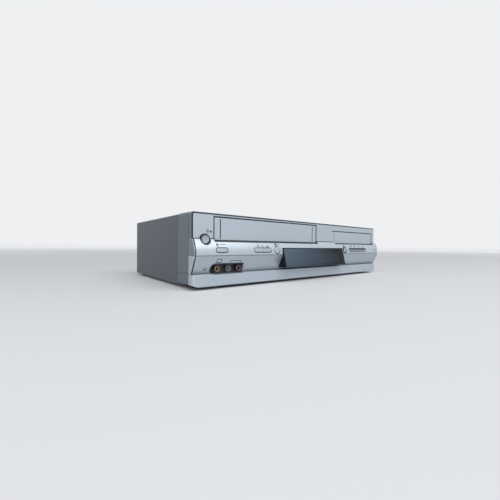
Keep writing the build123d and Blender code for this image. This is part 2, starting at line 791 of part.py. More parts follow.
def board_components():
    """What stands on the main board: chips, connectors, a heat sink and electrolytic capacitors."""
    low = main_board_z + board_thick
    chips = [(deck_x - 55, 60, 14), (deck_x + 25, 120, 20), (tray_x - 24, 90, 24)]
    chips += [(tray_x + 16, 140, 16), (aerial_x - 20, 90, 12)]
    cans = [(board_left + 18, 40), (board_left + 32, 40), (deck_x + 65, 40), (tray_x - 50, 160)]
    cans += [(aerial_x + 8, back) for back in (70, 84, 98)]
    cans += [(board_right - 20, back) for back in (60, 74)]
    group = []
    for x, back, size in chips:
        half = size / 2
        chip = block((x - half, x + half), (behind(back - half), behind(back + half)), (low, low + 2.4))
        group.append(chamfer(chip.faces().sort_by(Axis.Z)[-1].edges(), 0.5))
    for x, back in cans:
        group.append(post(x, behind(back), low, low + 11, 4.0))
    sink = block((aerial_x - 18, aerial_x + 10), (behind(112), behind(116)), (low, low + 14))
    for step in range(6):
        x = aerial_x - 17.2 + step * 4.9
        sink += block((x, x + 1.5), (behind(116), behind(126)), (low + 3, low + 14))
    group.append(sink)
    return Compound(group)


def power_supply():
    """The power supply: transformer, storage capacitor, choke and heat sink on their part of the board."""
    low = main_board_z + board_thick
    front = behind(supply_front)
    board = block((supply_left, board_right), (front, rear_panel_y - 1), (main_board_z, low))
    core_x, core_y = (supply_left + 46, supply_left + 78), (front + 8, front + 36)
    core = block(core_x, core_y, (low, low + 24))
    core -= block((core_x[0] - 1, core_x[1] + 1), (core_y[0] + 7, core_y[1] - 7), (low + 20, low + 25))
    winding_x, winding_y = (core_x[0] + 4, core_x[1] - 4), (core_y[0] + 3, core_y[1] - 3)
    group = [board, core + block(winding_x, winding_y, (low + 3, low + 27))]
    can = post(supply_left + 98, front + 22, low, low + 30, 11)
    group.append(fillet(can.faces().sort_by(Axis.Z)[-1].edges(), 1.0))
    sink = block((supply_left + 10, supply_left + 34), (front + 10, front + 13), (low, low + 34))
    for step in range(5):
        x = supply_left + 11 + step * 5.3
        sink += block((x, x + 1.5), (front + 13, front + 24), (low + 4, low + 34))
    group.append(sink)
    x, y = supply_left + 22, front + 36
    group.append(post(x, y, low, low + 12, 8) - post(x, y, low - 1, low + 13, 3.5))
    return Compound(group)


def front_board():
    """The upright control board behind the fascia, with a switch for each button."""
    y = (behind(front_board_back), behind(front_board_back + board_thick))
    half = half_width - 9.0
    board = block((-half, half), y, (bottom_z + 10, crease_z + 13))
    board += block((power_x - 9, power_x + 9), y, (crease_z + 12, power_z + 6))
    places = [(power_x, power_z), (eject_x, button_z), (record_x, button_z), (open_x, button_z)]
    places += [(channel_x + side * channel_width / 4, button_z) for side in (-1, 1)]
    places += [(x, button_z) for x in strip_centres()]
    for x, z in places:
        body = (behind(front_board_back - switch_reach + 0.8), behind(front_board_back + 0.1))
        board += block((x - 3, x + 3), body, (z - 3, z + 3))
        board += rod_y(x, behind(front_board_back - switch_reach), behind(front_board_back - 1), z, 1.6)
    y_back = behind(front_board_back + board_thick)
    plug_x = (deck_x - 65, deck_x - 25)
    board += block(plug_x, (y_back - 0.1, y_back + 5), (bottom_z + 14, bottom_z + 20))
    return board


def display_module():
    """The fluorescent display in its holder on the front board, behind the window."""
    y_front = behind(1.5)
    holder_y = (y_front, behind(front_board_back))
    holder = block((window_x - 62, window_x + 62), holder_y, (window_bottom + 2, crease_z + 5))
    space_y = (y_front - 1, y_front + 4)
    holder -= block((window_x - 57, window_x + 57), space_y, (window_bottom + 6, crease_z + 1))
    glass_y = (y_front + 0.5, y_front + 4)
    glass = block((window_x - 54, window_x + 54), glass_y, (window_bottom + 7, crease_z))
    return holder + chamfer(glass.faces().sort_by(Axis.Y)[0].edges(), 0.6)


def rubber_feet():
    """Four round rubber feet under the pan."""
    feet = []
    for x in (-half_width + 39, half_width - 39):
        for back in (64.0, body_depth - 29):
            foot = post(x, behind(back), 0, bottom_z, 11.0)
            feet.append(chamfer(foot.faces().sort_by(Axis.Z)[0].edges(), 1.2))
    return Compound(feet)


def case_screws():
    """The screws that hold the cover's rear lip."""
    screws = []
    for x in (-half_width + 35, 0, half_width - 35):
        screws.append(case_screw(x, cover_top - 4.5))
    for side in (-1, 1):
        screws.append(case_screw(side * (cover_half - 4.5), bottom_z + 22))
    return Compound(screws)


def case_screw(x, z):
    """One pan-head screw with a cross slot, seated on the lip."""
    head = rod_y(x, rear_y, rear_y + 1.8, z, 3.0)
    head = fillet(head.faces().sort_by(Axis.Y)[-1].edges(), 0.8)
    for size_x, size_z in ((3.4, 0.8), (0.8, 3.4)):
        cut = ((x - size_x / 2, x + size_x / 2), (z - size_z / 2, z + size_z / 2))
        head -= block(cut[0], (rear_y + 1.0, rear_y + 3), cut[1])
    return head


# Cassette deck: half widths from the deck's middle, outwards from the cassette
holder_sheet = 0.8
holder_side = 1.0
holder_half = cassette_width / 2 + 0.8
holder_outer = holder_half + holder_side
slider_sheet = 1.2
slider_half = holder_outer + 0.8
bracket_half = slider_half + slider_sheet + 0.5
holder_top = holder_floor_top + cassette_height + 1.0
holder_pin_backs = (50.0, 74.0)
holder_pin_z = holder_floor_top + 20.4
slider_pin_backs = (43.0, 81.0)
slider_pin_z = holder_pin_z - 8.0
bridge_z = cover_top - sheet - 1.8
slider_rod_r = 1.5
slider_rod_z = bridge_z - 1.1 - slider_rod_r
drum_z = deck_top + 8.0
lower_drum_height = 17.0
upper_drum_height = 18.0
guide_x = 34.0
roller_arm = (-18.9, -6.8)
arm_z = deck_top + 11.0


def mirrored_span(side, near, far):
    """The x span between two half widths on one side of the deck's middle."""
    return tuple(sorted((deck_x + side * near, deck_x + side * far)))


def slot_along_y(x, low, high, z, radius):
    """A slot's cutter through a side plate, round at both ends, along Y."""
    cut = block(x, (low, high), (z - radius, z + radius))
    return cut + rod_x(x[0], x[1], low, z, radius) + rod_x(x[0], x[1], high, z, radius)


def deck_plate():
    """The cassette deck's steel plate: reel, arm and gear posts, guide slots and a bearing hole."""
    plate_x = (deck_x - deck_half, deck_x + deck_half)
    plate = block(plate_x, (behind(54), behind(deck_back)), (deck_z, deck_top))
    plate = chamfer(plate.edges().filter_by(Axis.Z), 5.0)
    plate -= post(capstan_x, behind(capstan_back), deck_z - 1, deck_top + 1, 7.0)
    for side in (-1, 1):
        start = (deck_x + side * guide_x, behind(guide_start_back))
        end = (start[0] + side * guide_lean, start[1] + guide_run)
        slot = SlotCenterToCenter(hypot(guide_lean, guide_run), 2 * guide_pin_r)
        turn = degrees(atan2(guide_run, side * guide_lean))
        middle = Pos((start[0] + end[0]) / 2, (start[1] + end[1]) / 2, deck_z - 1)
        plate -= middle * Rot(0, 0, turn) * extrude(slot, deck_sheet + 2)
        x = deck_x + side * reel_pitch / 2
        plate += post(x, behind(reel_back), deck_top - 0.1, deck_top + 17, reel_post_r)
        plate -= block((x - 12, x + 12), (behind(118), behind(134)), (deck_z - 1, deck_top + 1))
    plate += post(pinch_pivot_x, behind(pinch_pivot_back), deck_top - 0.1, arm_z + 5, 2.0)
    gear_x, gear_back = gear_centre
    return plate + post(gear_x, behind(gear_back), deck_z - 7, deck_z + 0.1, 2.0)


def side_bracket(side):
    """One upright bracket beside the cassette bay, slotted for the sliding plate's pins."""
    near, far = bracket_half, bracket_half + deck_sheet
    plate_y = (behind(bracket_front), behind(bracket_rear))
    plate = block(mirrored_span(side, near, far), plate_y, (deck_top, bridge_z))
    for cut in ((bridge_z - 1.4, bridge_z + 1), (deck_top - 1, deck_top + 14)):
        cut_y = (behind(bracket_front - 1), behind(bracket_front + 18))
        plate -= block(mirrored_span(side, near - 1, far + 1), cut_y, cut)
    for low, high in ((deck_top, deck_top + deck_sheet), (bridge_z - deck_sheet, bridge_z)):
        flange_y = (behind(bracket_front + 22), behind(bracket_rear))
        plate += block(mirrored_span(side, near, far + 4.0), flange_y, (low, high))
    low, high = behind(slider_pin_backs[0]), behind(slider_pin_backs[1] + holder_travel)
    x = mirrored_span(side, near - 1, far + 1)
    return plate - slot_along_y(x, low, high, slider_pin_z, guide_pin_r + 2 * shaft_gap)


def top_bridge():
    """The pressed plate across the tops of the two brackets."""
    half = bracket_half + deck_sheet + 4.0
    plate_y = (behind(bridge_front), behind(bridge_rear))
    plate = block((deck_x - half, deck_x + half), plate_y, (bridge_z, bridge_z + 0.8))
    inner_half = half - 24
    cut_y = (behind(bridge_front + 12), behind(bridge_rear - 12))
    plate -= block((deck_x - inner_half, deck_x + inner_half), cut_y, (bridge_z - 1, bridge_z + 2))
    return chamfer(plate.edges().filter_by(Axis.Z), 3.0)


def cassette_slider():
    """Two sliding plates joined by two rods; the holder's pins ride down their upright slots."""
    slider = None
    for side in (-1, 1):
        span = mirrored_span(side, slider_half, slider_half + slider_sheet)
        plate = block(span, (behind(38), behind(86)), (holder_floor_top - 6, bridge_z - 1.1))
        plate = chamfer(plate.edges().filter_by(Axis.X), 2.0)
        wide = mirrored_span(side, slider_half - 1, slider_half + slider_sheet + 1)
        slot_half = guide_pin_r + 2 * shaft_gap
        slot_low, slot_high = holder_pin_z - holder_drop - guide_pin_r, holder_pin_z + guide_pin_r
        for back in holder_pin_backs:
            y = (behind(back) - slot_half, behind(back) + slot_half)
            plate -= block(wide, y, (slot_low - 0.4, slot_high + 0.4))
        for back in slider_pin_backs:
            pin = mirrored_span(side, slider_half + 0.2, bracket_half + deck_sheet + 0.2)
            plate += rod_x(*pin, behind(back), slider_pin_z, guide_pin_r)
        slider = plate if slider is None else slider + plate
    for back in (44.0, 80.0):
        rod = (deck_x - slider_half - 0.2, deck_x + slider_half + 0.2)
        slider += rod_x(*rod, behind(back), slider_rod_z, slider_rod_r)
    return slider


def cassette_holder():
    """The open sheet cage that takes the cassette: two channels joined by a plate across the top."""
    y = (behind(holder_back), behind(holder_back + holder_depth))
    low, high = holder_floor_top - holder_sheet, holder_top + holder_sheet
    plate_y = (y[1] - 22, y[1])
    cage = block((deck_x - holder_outer, deck_x + holder_outer), plate_y, (holder_top, high))
    cage -= block((deck_x - 40, deck_x + 40), (plate_y[0] + 6, plate_y[1] - 6), (low, high + 1))
    for side in (-1, 1):
        cage += block(mirrored_span(side, holder_half, holder_outer), y, (low, high))
        cage += block(mirrored_span(side, holder_outer - 22, holder_outer), y, (low, holder_floor_top))
        cage += block(mirrored_span(side, holder_outer - 14, holder_outer), y, (holder_top, high))
        for back in holder_pin_backs:
            pin = mirrored_span(side, holder_outer - 0.2, slider_half + slider_sheet - 0.1)
            cage += rod_x(*pin, behind(back), holder_pin_z, guide_pin_r)
    return cage


def reel(side):
    """One reel table: disc, hub and a finned spindle with a bore for its post."""
    profile = [
        (reel_bore_r, fit_gap), (reel_r, fit_gap), (reel_r, 4.0), (reel_r - 3, 5.0), (9.0, 5.0), (8.0, 8.0),
        (4.2, 8.0), (4.2, 19.0), (2.4, 21.0), (0, 21.0), (0, 18.0), (reel_bore_r, 18.0),
    ]
    outline = make_face(Polyline(*profile, close=True))
    solid = revolve(Plane.XZ * outline, Axis.Z)
    for turn in range(3):
        fin = block((3.6, 5.6), (-0.7, 0.7), (7.5, 17.5))
        solid += Rot(0, 0, turn * 120) * fin
    return Pos(deck_x + side * reel_pitch / 2, behind(reel_back), deck_top) * solid


def tilted(solid):
    """Puts a drum piece on the leaning drum axis."""
    return Pos(deck_x, behind(drum_back), drum_z) * Rot(0, drum_tilt, 0) * solid


def drum_base():
    """The cast drum base with the fixed lower drum, its tape ledge and the drum's shaft."""
    lower = post(0, 0, 0, lower_drum_height, drum_r) + post(0, 0, -4, 1, 27)
    lower += post(0, 0, 0, lower_drum_height + 15, drum_shaft_r)
    y = behind(drum_back)
    foot = soft_block((deck_x - 29, deck_x + 29), (y - 27, y + 33), (deck_top, deck_top + 6), 6.0)
    for x, place in ((-22, 26), (22, 26)):
        foot += post(deck_x + x, y + place, deck_top + 5, deck_top + 9, 3.4)
    return foot + tilted(lower)


def head_drum():
    """The spinning upper drum with its head windows and rotor."""
    start = lower_drum_height + fit_gap
    rim = start + upper_drum_height
    drum = post(0, 0, start, rim, drum_r) - post(0, 0, rim - 3, rim + 1, 24)
    drum += post(0, 0, rim - 3, rim + 2, 15)
    for side in (-1, 1):
        drum -= Pos(0, side * drum_r, start + 0.7) * Box(7, 4, 1.6)
    return tilted(drum - post(0, 0, start - 0.1, start + 15.3, drum_shaft_r + shaft_gap))


def capstan():
    """The capstan shaft with its flywheel under the deck."""
    wheel = post(0, 0, deck_z - 10, deck_z - 5, flywheel_r) + post(0, 0, deck_z - 5.1, deck_z - 4, 5.0)
    wheel -= post(0, 0, deck_z - 6.5, deck_z, 18.5) - post(0, 0, deck_z - 7, deck_z + 1, 7.0)
    return Pos(capstan_x, behind(capstan_back), 0) * (wheel + post(0, 0, deck_z - 9, deck_top + 36, 2.0))


def capstan_motor():
    """The capstan's bearing housing and stator, fixed to the deck plate."""
    stator = post(0, 0, deck_z - 3, deck_z, stator_r) + post(0, 0, deck_z - 1, deck_top + 10, 7.0)
    stator = stator - post(0, 0, deck_z - 4, deck_top + 11, 2.0 + shaft_gap)
    return Pos(capstan_x, behind(capstan_back), 0) * stator


def pinch_arm():
    """The swinging arm with a pin for the pinch roller."""
    arm = post(0, 0, arm_z, arm_z + 3, 5.0) + post(*roller_arm, arm_z, arm_z + 3, 4.0)
    length = hypot(*roller_arm)
    turn = degrees(atan2(roller_arm[1], roller_arm[0]))
    bar = block((0, length), (-3.0, 3.0), (arm_z, arm_z + 3))
    arm += Rot(0, 0, turn) * bar
    arm += post(*roller_arm, arm_z + 2.9, arm_z + 24, 1.5)
    arm -= post(0, 0, arm_z - 1, arm_z + 4, 2.0 + shaft_gap)
    return Pos(pinch_pivot_x, behind(pinch_pivot_back), 0) * arm


def pinch_roller():
    """The rubber roller on the pinch arm's pin."""
    roller = post(0, 0, arm_z + 4, arm_z + 21, 6.5) - post(0, 0, arm_z + 3, arm_z + 22, 1.5 + shaft_gap)
    return Pos(pinch_pivot_x + roller_arm[0], behind(pinch_pivot_back) + roller_arm[1], 0) * roller


def tape_guide(side):
    """One tape guide: sliding foot with a slot pin, post and flanged roller."""
    foot = block((-4.5, 4.5), (-4.0, 4.0), (deck_top + 0.3, deck_top + 5))
    foot = chamfer(foot.edges().filter_by(Axis.Z), 1.5)
    foot += post(0, 0, deck_z - 1, deck_top + 1, guide_pin_r - 2 * shaft_gap)
    foot += post(0, 0, deck_top + 4, deck_top + 16, 1.6) + post(0, 0, deck_top + 15, deck_top + 17, 3.6)
    foot += post(0, 0, deck_top + 16, deck_top + 33, 2.8) + post(0, 0, deck_top + 32, deck_top + 35, 3.6)
    return Pos(deck_x + side * guide_x, behind(guide_start_back), 0) * foot


def tape_heads():
    """The erase head and sound head stands and two fixed tape posts on the deck."""
    group = []
    for x, y in ((deck_x - 62, behind(drum_back - 21)), (deck_x + 66, behind(drum_back + 5))):
        stand = block((x - 7, x + 7), (y - 5, y + 5), (deck_top, deck_top + 4))
        stand += block((x - 4.5, x + 4.5), (y - 3, y + 3), (deck_top + 3.9, deck_top + 16))
        head = block((x - 5.5, x + 5.5), (y - 5, y + 4), (deck_top + 15.9, deck_top + 34))
        group.append(stand + chamfer(head.edges().filter_by(Axis.Z), 2.0))
    for x, y in ((deck_x - 74, behind(drum_back - 33)), (deck_x + 76, behind(drum_back - 7))):
        pin = post(x, y, deck_top, deck_top + 3, 4.0) + post(x, y, deck_top + 2.9, deck_top + 34, 2.0)
        group.append(pin + post(x, y, deck_top + 33.9, deck_top + 36, 3.2))
    return Compound(group)


def gear_outline(radius, teeth, module):
    """A gear's outline: straight-sided teeth thinned for clearance."""
    points = []
    pitch = 360.0 / teeth
    for number in range(teeth):
        for place, height in ((-0.27, -1.25), (-0.10, 1.0), (0.10, 1.0), (0.27, -1.25)):
            turn = radians((number + place) * pitch)
            length = radius + height * module
            points.append((length * cos(turn), length * sin(turn)))
    return make_face(Polyline(*points, close=True))


def loading_gear():
    """The toothed wheel under the deck that draws the tape guides."""
    gear = Pos(0, 0, deck_z - 5.5) * extrude(gear_outline(gear_r, gear_teeth, 2 * gear_r / gear_teeth), 3.5)
    gear += post(0, 0, deck_z - 6.5, deck_z - 1.2, 4.5)
    gear -= post(0, 0, deck_z - 8, deck_z, 2.0 + shaft_gap)
    for turn in range(4):
        gear -= Rot(0, 0, 45 + 90 * turn) * post(12.5, 0, deck_z - 8, deck_z, 4.0)
    x, back = gear_centre
    return Pos(x, behind(back), 0) * gear


def drive_motors():
    """Two small motors: the deck's loading motor and the disc tray's motor under the loader floor."""
    x, y, z = deck_x - 74, behind(drum_back + 17), deck_top + 11.5
    loading = rod_y(x, y - 12, y + 12, z, 11.5) + rod_y(x, y - 20, y - 11, z, 1.5)
    loading &= block((x - 12, x + 12), (y - 21, y + 13), (z - 9.5, z + 9.5))
    loading += block((x - 10, x + 10), (y - 10, y + 10), (deck_top, z - 8))
    x, y = tray_motor_x, behind(tray_motor_back)
    tray = post(x, y, loader_floor_z - 20, loader_floor_z, 11.5)
    tray += post(x, y, loader_floor_z - 0.1, loader_floor_top + 4, tray_pulley_r)
    return Compound([loading, tray])


# Disc loader: heights and half widths from the tray's middle
tray_bottom = tray_front_bottom + tray_lift
tray_top = tray_bottom + tray_height
tray_half = tray_width / 2
rail_low = tray_bottom + 2.4
rail_high = rail_low + rail_height
loader_front_back = 18.0
loader_top = tray_top + 3.0
clamper_low = tray_top + 1.3
platter_top = clamper_low - 1.2
traverse_low = loader_floor_top + 0.8
traverse_top = traverse_low + 3.0
traverse_front = disc_back - 21.0
traverse_pivot_back = traverse_front + traverse_length - 4.0
traverse_pivot_z = traverse_low + 1.5
traverse_half = traverse_width / 2
pickup_rod_x = traverse_half - 9.0
pickup_back = disc_back + 24.0
pickup_length = 26.0
pinion_pitch_r = gear_module * pinion_teeth / 2
rack_x = tray_x - 50.0
pinion_x = rack_x + pinion_pitch_r
rack_low = tray_front_bottom + 1.6


def loader_frame():
    """The loader's moulded frame: floor with the traverse's opening, grooved side walls and pivot ears."""
    y = (behind(loader_front_back), behind(loader_front_back + loader_length))
    whole_x = (tray_x - loader_outer, tray_x + loader_outer)
    frame = block(whole_x, y, (loader_floor_z, loader_floor_top))
    opening_y = (behind(traverse_front - 2.5), behind(traverse_front + traverse_length + 4))
    half = traverse_half + 1.5
    frame -= block((tray_x - half, tray_x + half), opening_y, (loader_floor_z - 1, loader_floor_top + 1))
    frame += block(whole_x, (y[1] - 2, y[1]), (loader_floor_z, tray_bottom - 1))
    for side in (-1, 1):
        wall_span = sorted((tray_x + side * loader_half, tray_x + side * loader_outer))
        frame += block(wall_span, y, (loader_floor_z, loader_top))
        ledge = sorted((tray_x + side * (tray_half + 0.4), tray_x + side * (loader_half + 0.1)))
        frame += block(ledge, y, (rail_low - 1.8, rail_low - 0.3))
        frame += block(ledge, y, (rail_high + 0.3, rail_high + 1.8))
        ear = sorted((tray_x + side * (half + 0.2), tray_x + side * (half + 4.0)))
        ear_y = (behind(traverse_pivot_back - 5), behind(traverse_pivot_back + 5))
        frame += block(ear, ear_y, (loader_floor_z, traverse_pivot_z + 4))
        bore = (behind(traverse_pivot_back), traverse_pivot_z, 2.0 + shaft_gap)
        frame -= rod_x(ear[0] - 1, ear[1] + 1, *bore)
    frame += post(pinion_x, behind(pinion_back), loader_floor_top - 0.1, tray_bottom - 0.6, 2.0)
    hole = (loader_floor_z - 1, loader_floor_top + 1, tray_pulley_r + 0.2)
    return frame - post(tray_motor_x, behind(tray_motor_back), *hole)


def clamp_bridge():
    """The sheet bridge over the loader, with the round seat that holds the clamper."""
    y = (behind(disc_back - 21), behind(disc_back + 21))
    bridge = block((tray_x - loader_outer, tray_x + loader_outer), y, (loader_top, loader_top + 1.6))
    bridge = chamfer(bridge.edges().filter_by(Axis.Z), 4.0)
    bridge += post(tray_x, behind(disc_back), loader_top + 1.5, loader_top + 2.6, 20.0)
    for side in (-1, 1):
        x = tray_x + side * 44.0
        bridge -= block((x - 10, x + 10), (y[0] + 10, y[1] - 10), (loader_top - 1, loader_top + 2))
    return bridge - post(tray_x, behind(disc_back), loader_top - 1, loader_top + 4, 12.6)


def disc_clamper():
    """The magnetic clamper: puck with a recess for the hub, and the flange that it hangs by."""
    top = loader_top + 2.6
    clamper = post(0, 0, clamper_low, top + 0.4, 12.0) + post(0, 0, top + fit_gap, top + 1.8, 17.0)
    clamper -= post(0, 0, clamper_low - 1, clamper_low + 2.2, 8.0)
    return Pos(tray_x, behind(disc_back), 0) * clamper


def disc_tray():
    """The sliding tray: stepped disc recess, slot for the turntable, side rails and a toothed rack."""
    front = behind(tray_front_thick + 0.2)
    y = (front, front + tray_length)
    tray = block((tray_x - tray_half, tray_x + tray_half), y, (tray_bottom, tray_top))
    inner = (tray_x - tray_half + 2.5, tray_x + tray_half - 2.5)
    tray -= block(inner, (y[0] + 2.5, y[1] - 2.5), (tray_bottom - 1, tray_bottom + 2.4))
    disc_y = behind(disc_back)
    tray -= post(tray_x, disc_y, tray_bottom + 4.4, tray_top + 1, disc_r + 1.0)
    tray -= post(tray_x, disc_y, tray_bottom + 3.6, tray_top, disc_r * 2 / 3)
    half = tray_slot / 2
    tray -= block((tray_x - half, tray_x + half), (disc_y, y[1] + 1), (tray_bottom - 1, tray_top + 1))
    tray -= post(tray_x, disc_y, tray_bottom - 1, tray_top + 1, half)
    for side in (-1, 1):
        rail = sorted((tray_x + side * (tray_half - 0.1), tray_x + side * (tray_half + rail_out)))
        tray += block(rail, (y[0] + 4, y[1]), (rail_low, rail_high))
    return tray + rack()


def rack():
    """The rack under the tray, in mesh with the pinion at rest and at full travel."""
    low_back = pinion_back - 9.0
    high_back = pinion_back + tray_travel - 2.0
    pitch = pi * gear_module
    points = [(rack_x - 5.0, behind(low_back)), (rack_x - 1.25 * gear_module, behind(low_back))]
    count = int((high_back - low_back) / pitch)
    first = pinion_back - int((pinion_back - low_back) / pitch - 0.5) * pitch - pitch / 2
    for number in range(count):
        middle = first + number * pitch
        for place, depth in ((-0.27, -1.25), (-0.10, 1.0), (0.10, 1.0), (0.27, -1.25)):
            points.append((rack_x + depth * gear_module, behind(middle + place * pitch)))
    points += [(rack_x - 1.25 * gear_module, behind(high_back)), (rack_x - 5.0, behind(high_back))]
    bar = extrude(make_face(Polyline(*points, close=True)), tray_bottom + 2.5 - rack_low)
    return Pos(0, 0, rack_low) * bar


def tray_front():
    """The tray's front cover, with a finger-wide chamfer along its lower edge."""
    half = tray_front_width / 2
    y = (behind(0.2), behind(0.2 + tray_front_thick))
    cover = block((tray_x - half, tray_x + half), y, (tray_front_bottom, tray_front_top))
    return chamfer(cover.edges().group_by(Axis.Y)[0], 0.4)


def tray_pinion():
    """The pinion that drives the rack: one tooth points into a gap of the rack at rest."""
    outline = gear_outline(pinion_pitch_r, pinion_teeth, gear_module)
    gear = Pos(0, 0, rack_low + 0.2) * extrude(outline, tray_bottom - rack_low - 0.6)
    gear += post(0, 0, loader_floor_top + fit_gap, rack_low + 0.3, 6.5)
    gear -= post(0, 0, loader_floor_top - 1, tray_bottom + 1, 2.0 + shaft_gap)
    return Pos(pinion_x, behind(pinion_back), 0) * gear


def traverse():
    """The tilting sled frame: motor seat, opening for the pickup, two guide rods and the pivot pins."""
    y = (behind(traverse_front), behind(traverse_front + traverse_length))
    frame = block((tray_x - traverse_half, tray_x + traverse_half), y, (traverse_low, traverse_top))
    frame = chamfer(frame.edges().filter_by(Axis.Z), 3.0)
    opening = (tray_x - traverse_half + 5, tray_x + traverse_half - 5)
    opening_y = (behind(pickup_back - 5), y[1] - 10)
    frame -= block(opening, opening_y, (traverse_low - 1, traverse_top + 1))
    frame += post(tray_x, behind(disc_back), traverse_low - 4, traverse_low + 1, 5.0)
    frame -= post(tray_x, behind(disc_back), traverse_low - 5, traverse_top + 1, 1.5 + shaft_gap)
    for side in (-1, 1):
        rod_at = tray_x + side * pickup_rod_x
        rod = rod_y(rod_at, opening_y[0] - 1, opening_y[1] + 1, traverse_pivot_z, 1.5)
        pin = sorted((tray_x + side * (traverse_half - 1), tray_x + side * (traverse_half + 5.4)))
        frame += rod + rod_x(*pin, behind(traverse_pivot_back), traverse_pivot_z, 2.0)
    return frame


def spindle_turntable():
    """The spindle motor's rotor with its turntable and the cone that centres the disc."""
    profile = [
        (0, traverse_low - 3), (1.5, traverse_low - 3), (1.5, traverse_top + 0.4),
        (13.0, traverse_top + 0.4), (13.0, platter_top - 4), (11.0, platter_top - 3.2),
        (turntable_r, platter_top - 2.4), (turntable_r, platter_top), (7.3, platter_top),
        (6.6, platter_top + 1.8), (4.5, platter_top + 2.6), (0, platter_top + 2.6),
    ]
    spindle = revolve(Plane.XZ * make_face(Polyline(*profile, close=True)), Axis.Z)
    return Pos(tray_x, behind(disc_back), 0) * spindle


def pickup():
    """The optical pickup on its two rods, with the lens in its turret."""
    half = pickup_rod_x + 3.0
    y = (behind(pickup_back), behind(pickup_back + pickup_length))
    body = block((tray_x - half, tray_x + half), y, (traverse_low - 1.5, traverse_top + 1.6))
    body = chamfer(body.edges().filter_by(Axis.Z), 3.0)
    for side in (-1, 1):
        body -= rod_y(tray_x + side * pickup_rod_x, y[0] - 1, y[1] + 1, traverse_pivot_z, 1.5 + shaft_gap)
    lens_y = behind(pickup_back + 8)
    turret_z = (traverse_top + 1.5, traverse_top + 5)
    body += block((tray_x - 8, tray_x + 8), (lens_y - 7, lens_y + 9), turret_z)
    body += post(tray_x, lens_y, traverse_top + 4.9, platter_top - 3.4, 3.4)
    return body


parts = {
    "base_chassis": base_chassis(),
    "rear_panel": rear_panel(),
    "top_cover": top_cover(),
    "front_frame": front_frame(),
    "fascia": fascia(),
    "display_window": display_window(),
    "display_module": display_module(),
    "front_board": front_board(),
    "front_jack_panel": front_jack_panel(),
    "rear_jack_block": rear_jack_block(),
    "jack_sleeves": jack_sleeves(),
    "yellow_jack_inserts": coloured_inserts("yellow"),
    "white_jack_inserts": coloured_inserts("white"),
    "red_jack_inserts": coloured_inserts("red"),
    "tuner_module": tuner_module(),
    "ac_inlet": ac_inlet(),
    "main_board": main_board(),
    "board_components": board_components(),
    "power_supply": power_supply(),
    "rubber_feet": rubber_feet(),
    "case_screws": case_screws(),
    "deck_plate": deck_plate(),
    "left_bracket": side_bracket(-1),
    "right_bracket": side_bracket(1),
    "top_bridge": top_bridge(),
    "drum_base": drum_base(),
    "tape_heads": tape_heads(),
    "capstan_motor": capstan_motor(),
    "drive_motors": drive_motors(),
    "loader_frame": loader_frame(),
    "clamp_bridge": clamp_bridge(),
    "cassette_door": cassette_door(),
    "cassette_slider": cassette_slider(),
    "cassette_holder": cassette_holder(),
    "head_drum": head_drum(),
    "capstan": capstan(),
    "pinch_arm": pinch_arm(),
    "pinch_roller": pinch_roller(),
    "supply_reel": reel(-1),
    "takeup_reel": reel(1),
    "supply_guide": tape_guide(-1),
    "takeup_guide": tape_guide(1),
    "loading_gear": loading_gear(),
    "disc_tray": disc_tray(),
    "tray_front": tray_front(),
    "tray_pinion": tray_pinion(),
    "disc_clamper": disc_clamper(),
    "traverse": traverse(),
    "spindle_turntable": spindle_turntable(),
    "pickup": pickup(),
    "power_button": power_button(),
    "eject_button": eject_button(),
    "channel_down_button": channel_button(-1),
    "channel_up_button": channel_button(1),
    "record_button": record_button(),
    "open_button": open_button(),
}
for number, x in enumerate(strip_centres(), 1):
    parts[f"transport_button_{number}"] = strip_button(x)

os.makedirs("parts", exist_ok=True)
for name, shape in parts.items():
    export_step(shape, f"parts/{name}.step")
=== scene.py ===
import json
from math import pi, radians, sin, sqrt

import bmesh
import bpy
import numpy as np
from bpy.props import FloatProperty, FloatVectorProperty, PointerProperty
from mathutils import Matrix, Vector


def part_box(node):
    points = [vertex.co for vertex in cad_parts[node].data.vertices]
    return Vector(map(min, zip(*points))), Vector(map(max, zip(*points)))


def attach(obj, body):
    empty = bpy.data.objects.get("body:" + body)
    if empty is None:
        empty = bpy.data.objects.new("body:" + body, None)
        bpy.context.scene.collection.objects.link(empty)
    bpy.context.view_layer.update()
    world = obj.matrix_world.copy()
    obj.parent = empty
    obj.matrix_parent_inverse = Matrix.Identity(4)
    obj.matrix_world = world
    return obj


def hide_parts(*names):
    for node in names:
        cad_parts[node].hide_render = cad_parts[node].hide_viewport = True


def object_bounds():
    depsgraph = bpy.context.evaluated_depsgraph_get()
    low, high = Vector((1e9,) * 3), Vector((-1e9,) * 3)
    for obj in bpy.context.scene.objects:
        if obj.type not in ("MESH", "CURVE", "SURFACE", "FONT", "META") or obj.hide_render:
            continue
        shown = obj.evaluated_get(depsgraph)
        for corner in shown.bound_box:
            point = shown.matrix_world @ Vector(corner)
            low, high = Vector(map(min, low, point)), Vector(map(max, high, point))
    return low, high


bl_info = {
    "name": "Player finishes",
    "version": (1, 0, 0),
    "blender": (4, 5, 0),
    "location": "View3D > Sidebar > Player",
    "description": "Finishes, small pieces and stage of a disc player and cassette recorder",
    "category": "Object",
}

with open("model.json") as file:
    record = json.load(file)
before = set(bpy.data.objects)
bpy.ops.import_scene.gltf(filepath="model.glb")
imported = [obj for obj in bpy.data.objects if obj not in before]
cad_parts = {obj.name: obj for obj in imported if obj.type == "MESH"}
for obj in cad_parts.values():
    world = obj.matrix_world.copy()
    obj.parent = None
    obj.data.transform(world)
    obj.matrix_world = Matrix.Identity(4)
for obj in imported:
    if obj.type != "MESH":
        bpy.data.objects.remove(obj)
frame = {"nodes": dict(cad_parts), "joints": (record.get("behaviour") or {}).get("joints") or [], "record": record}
cad_low, cad_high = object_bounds()
nodes = frame["nodes"]
joints = {joint["name"]: joint for joint in frame["joints"]}
mounts = {mount["name"]: mount for mount in frame["record"]["mounts"]}

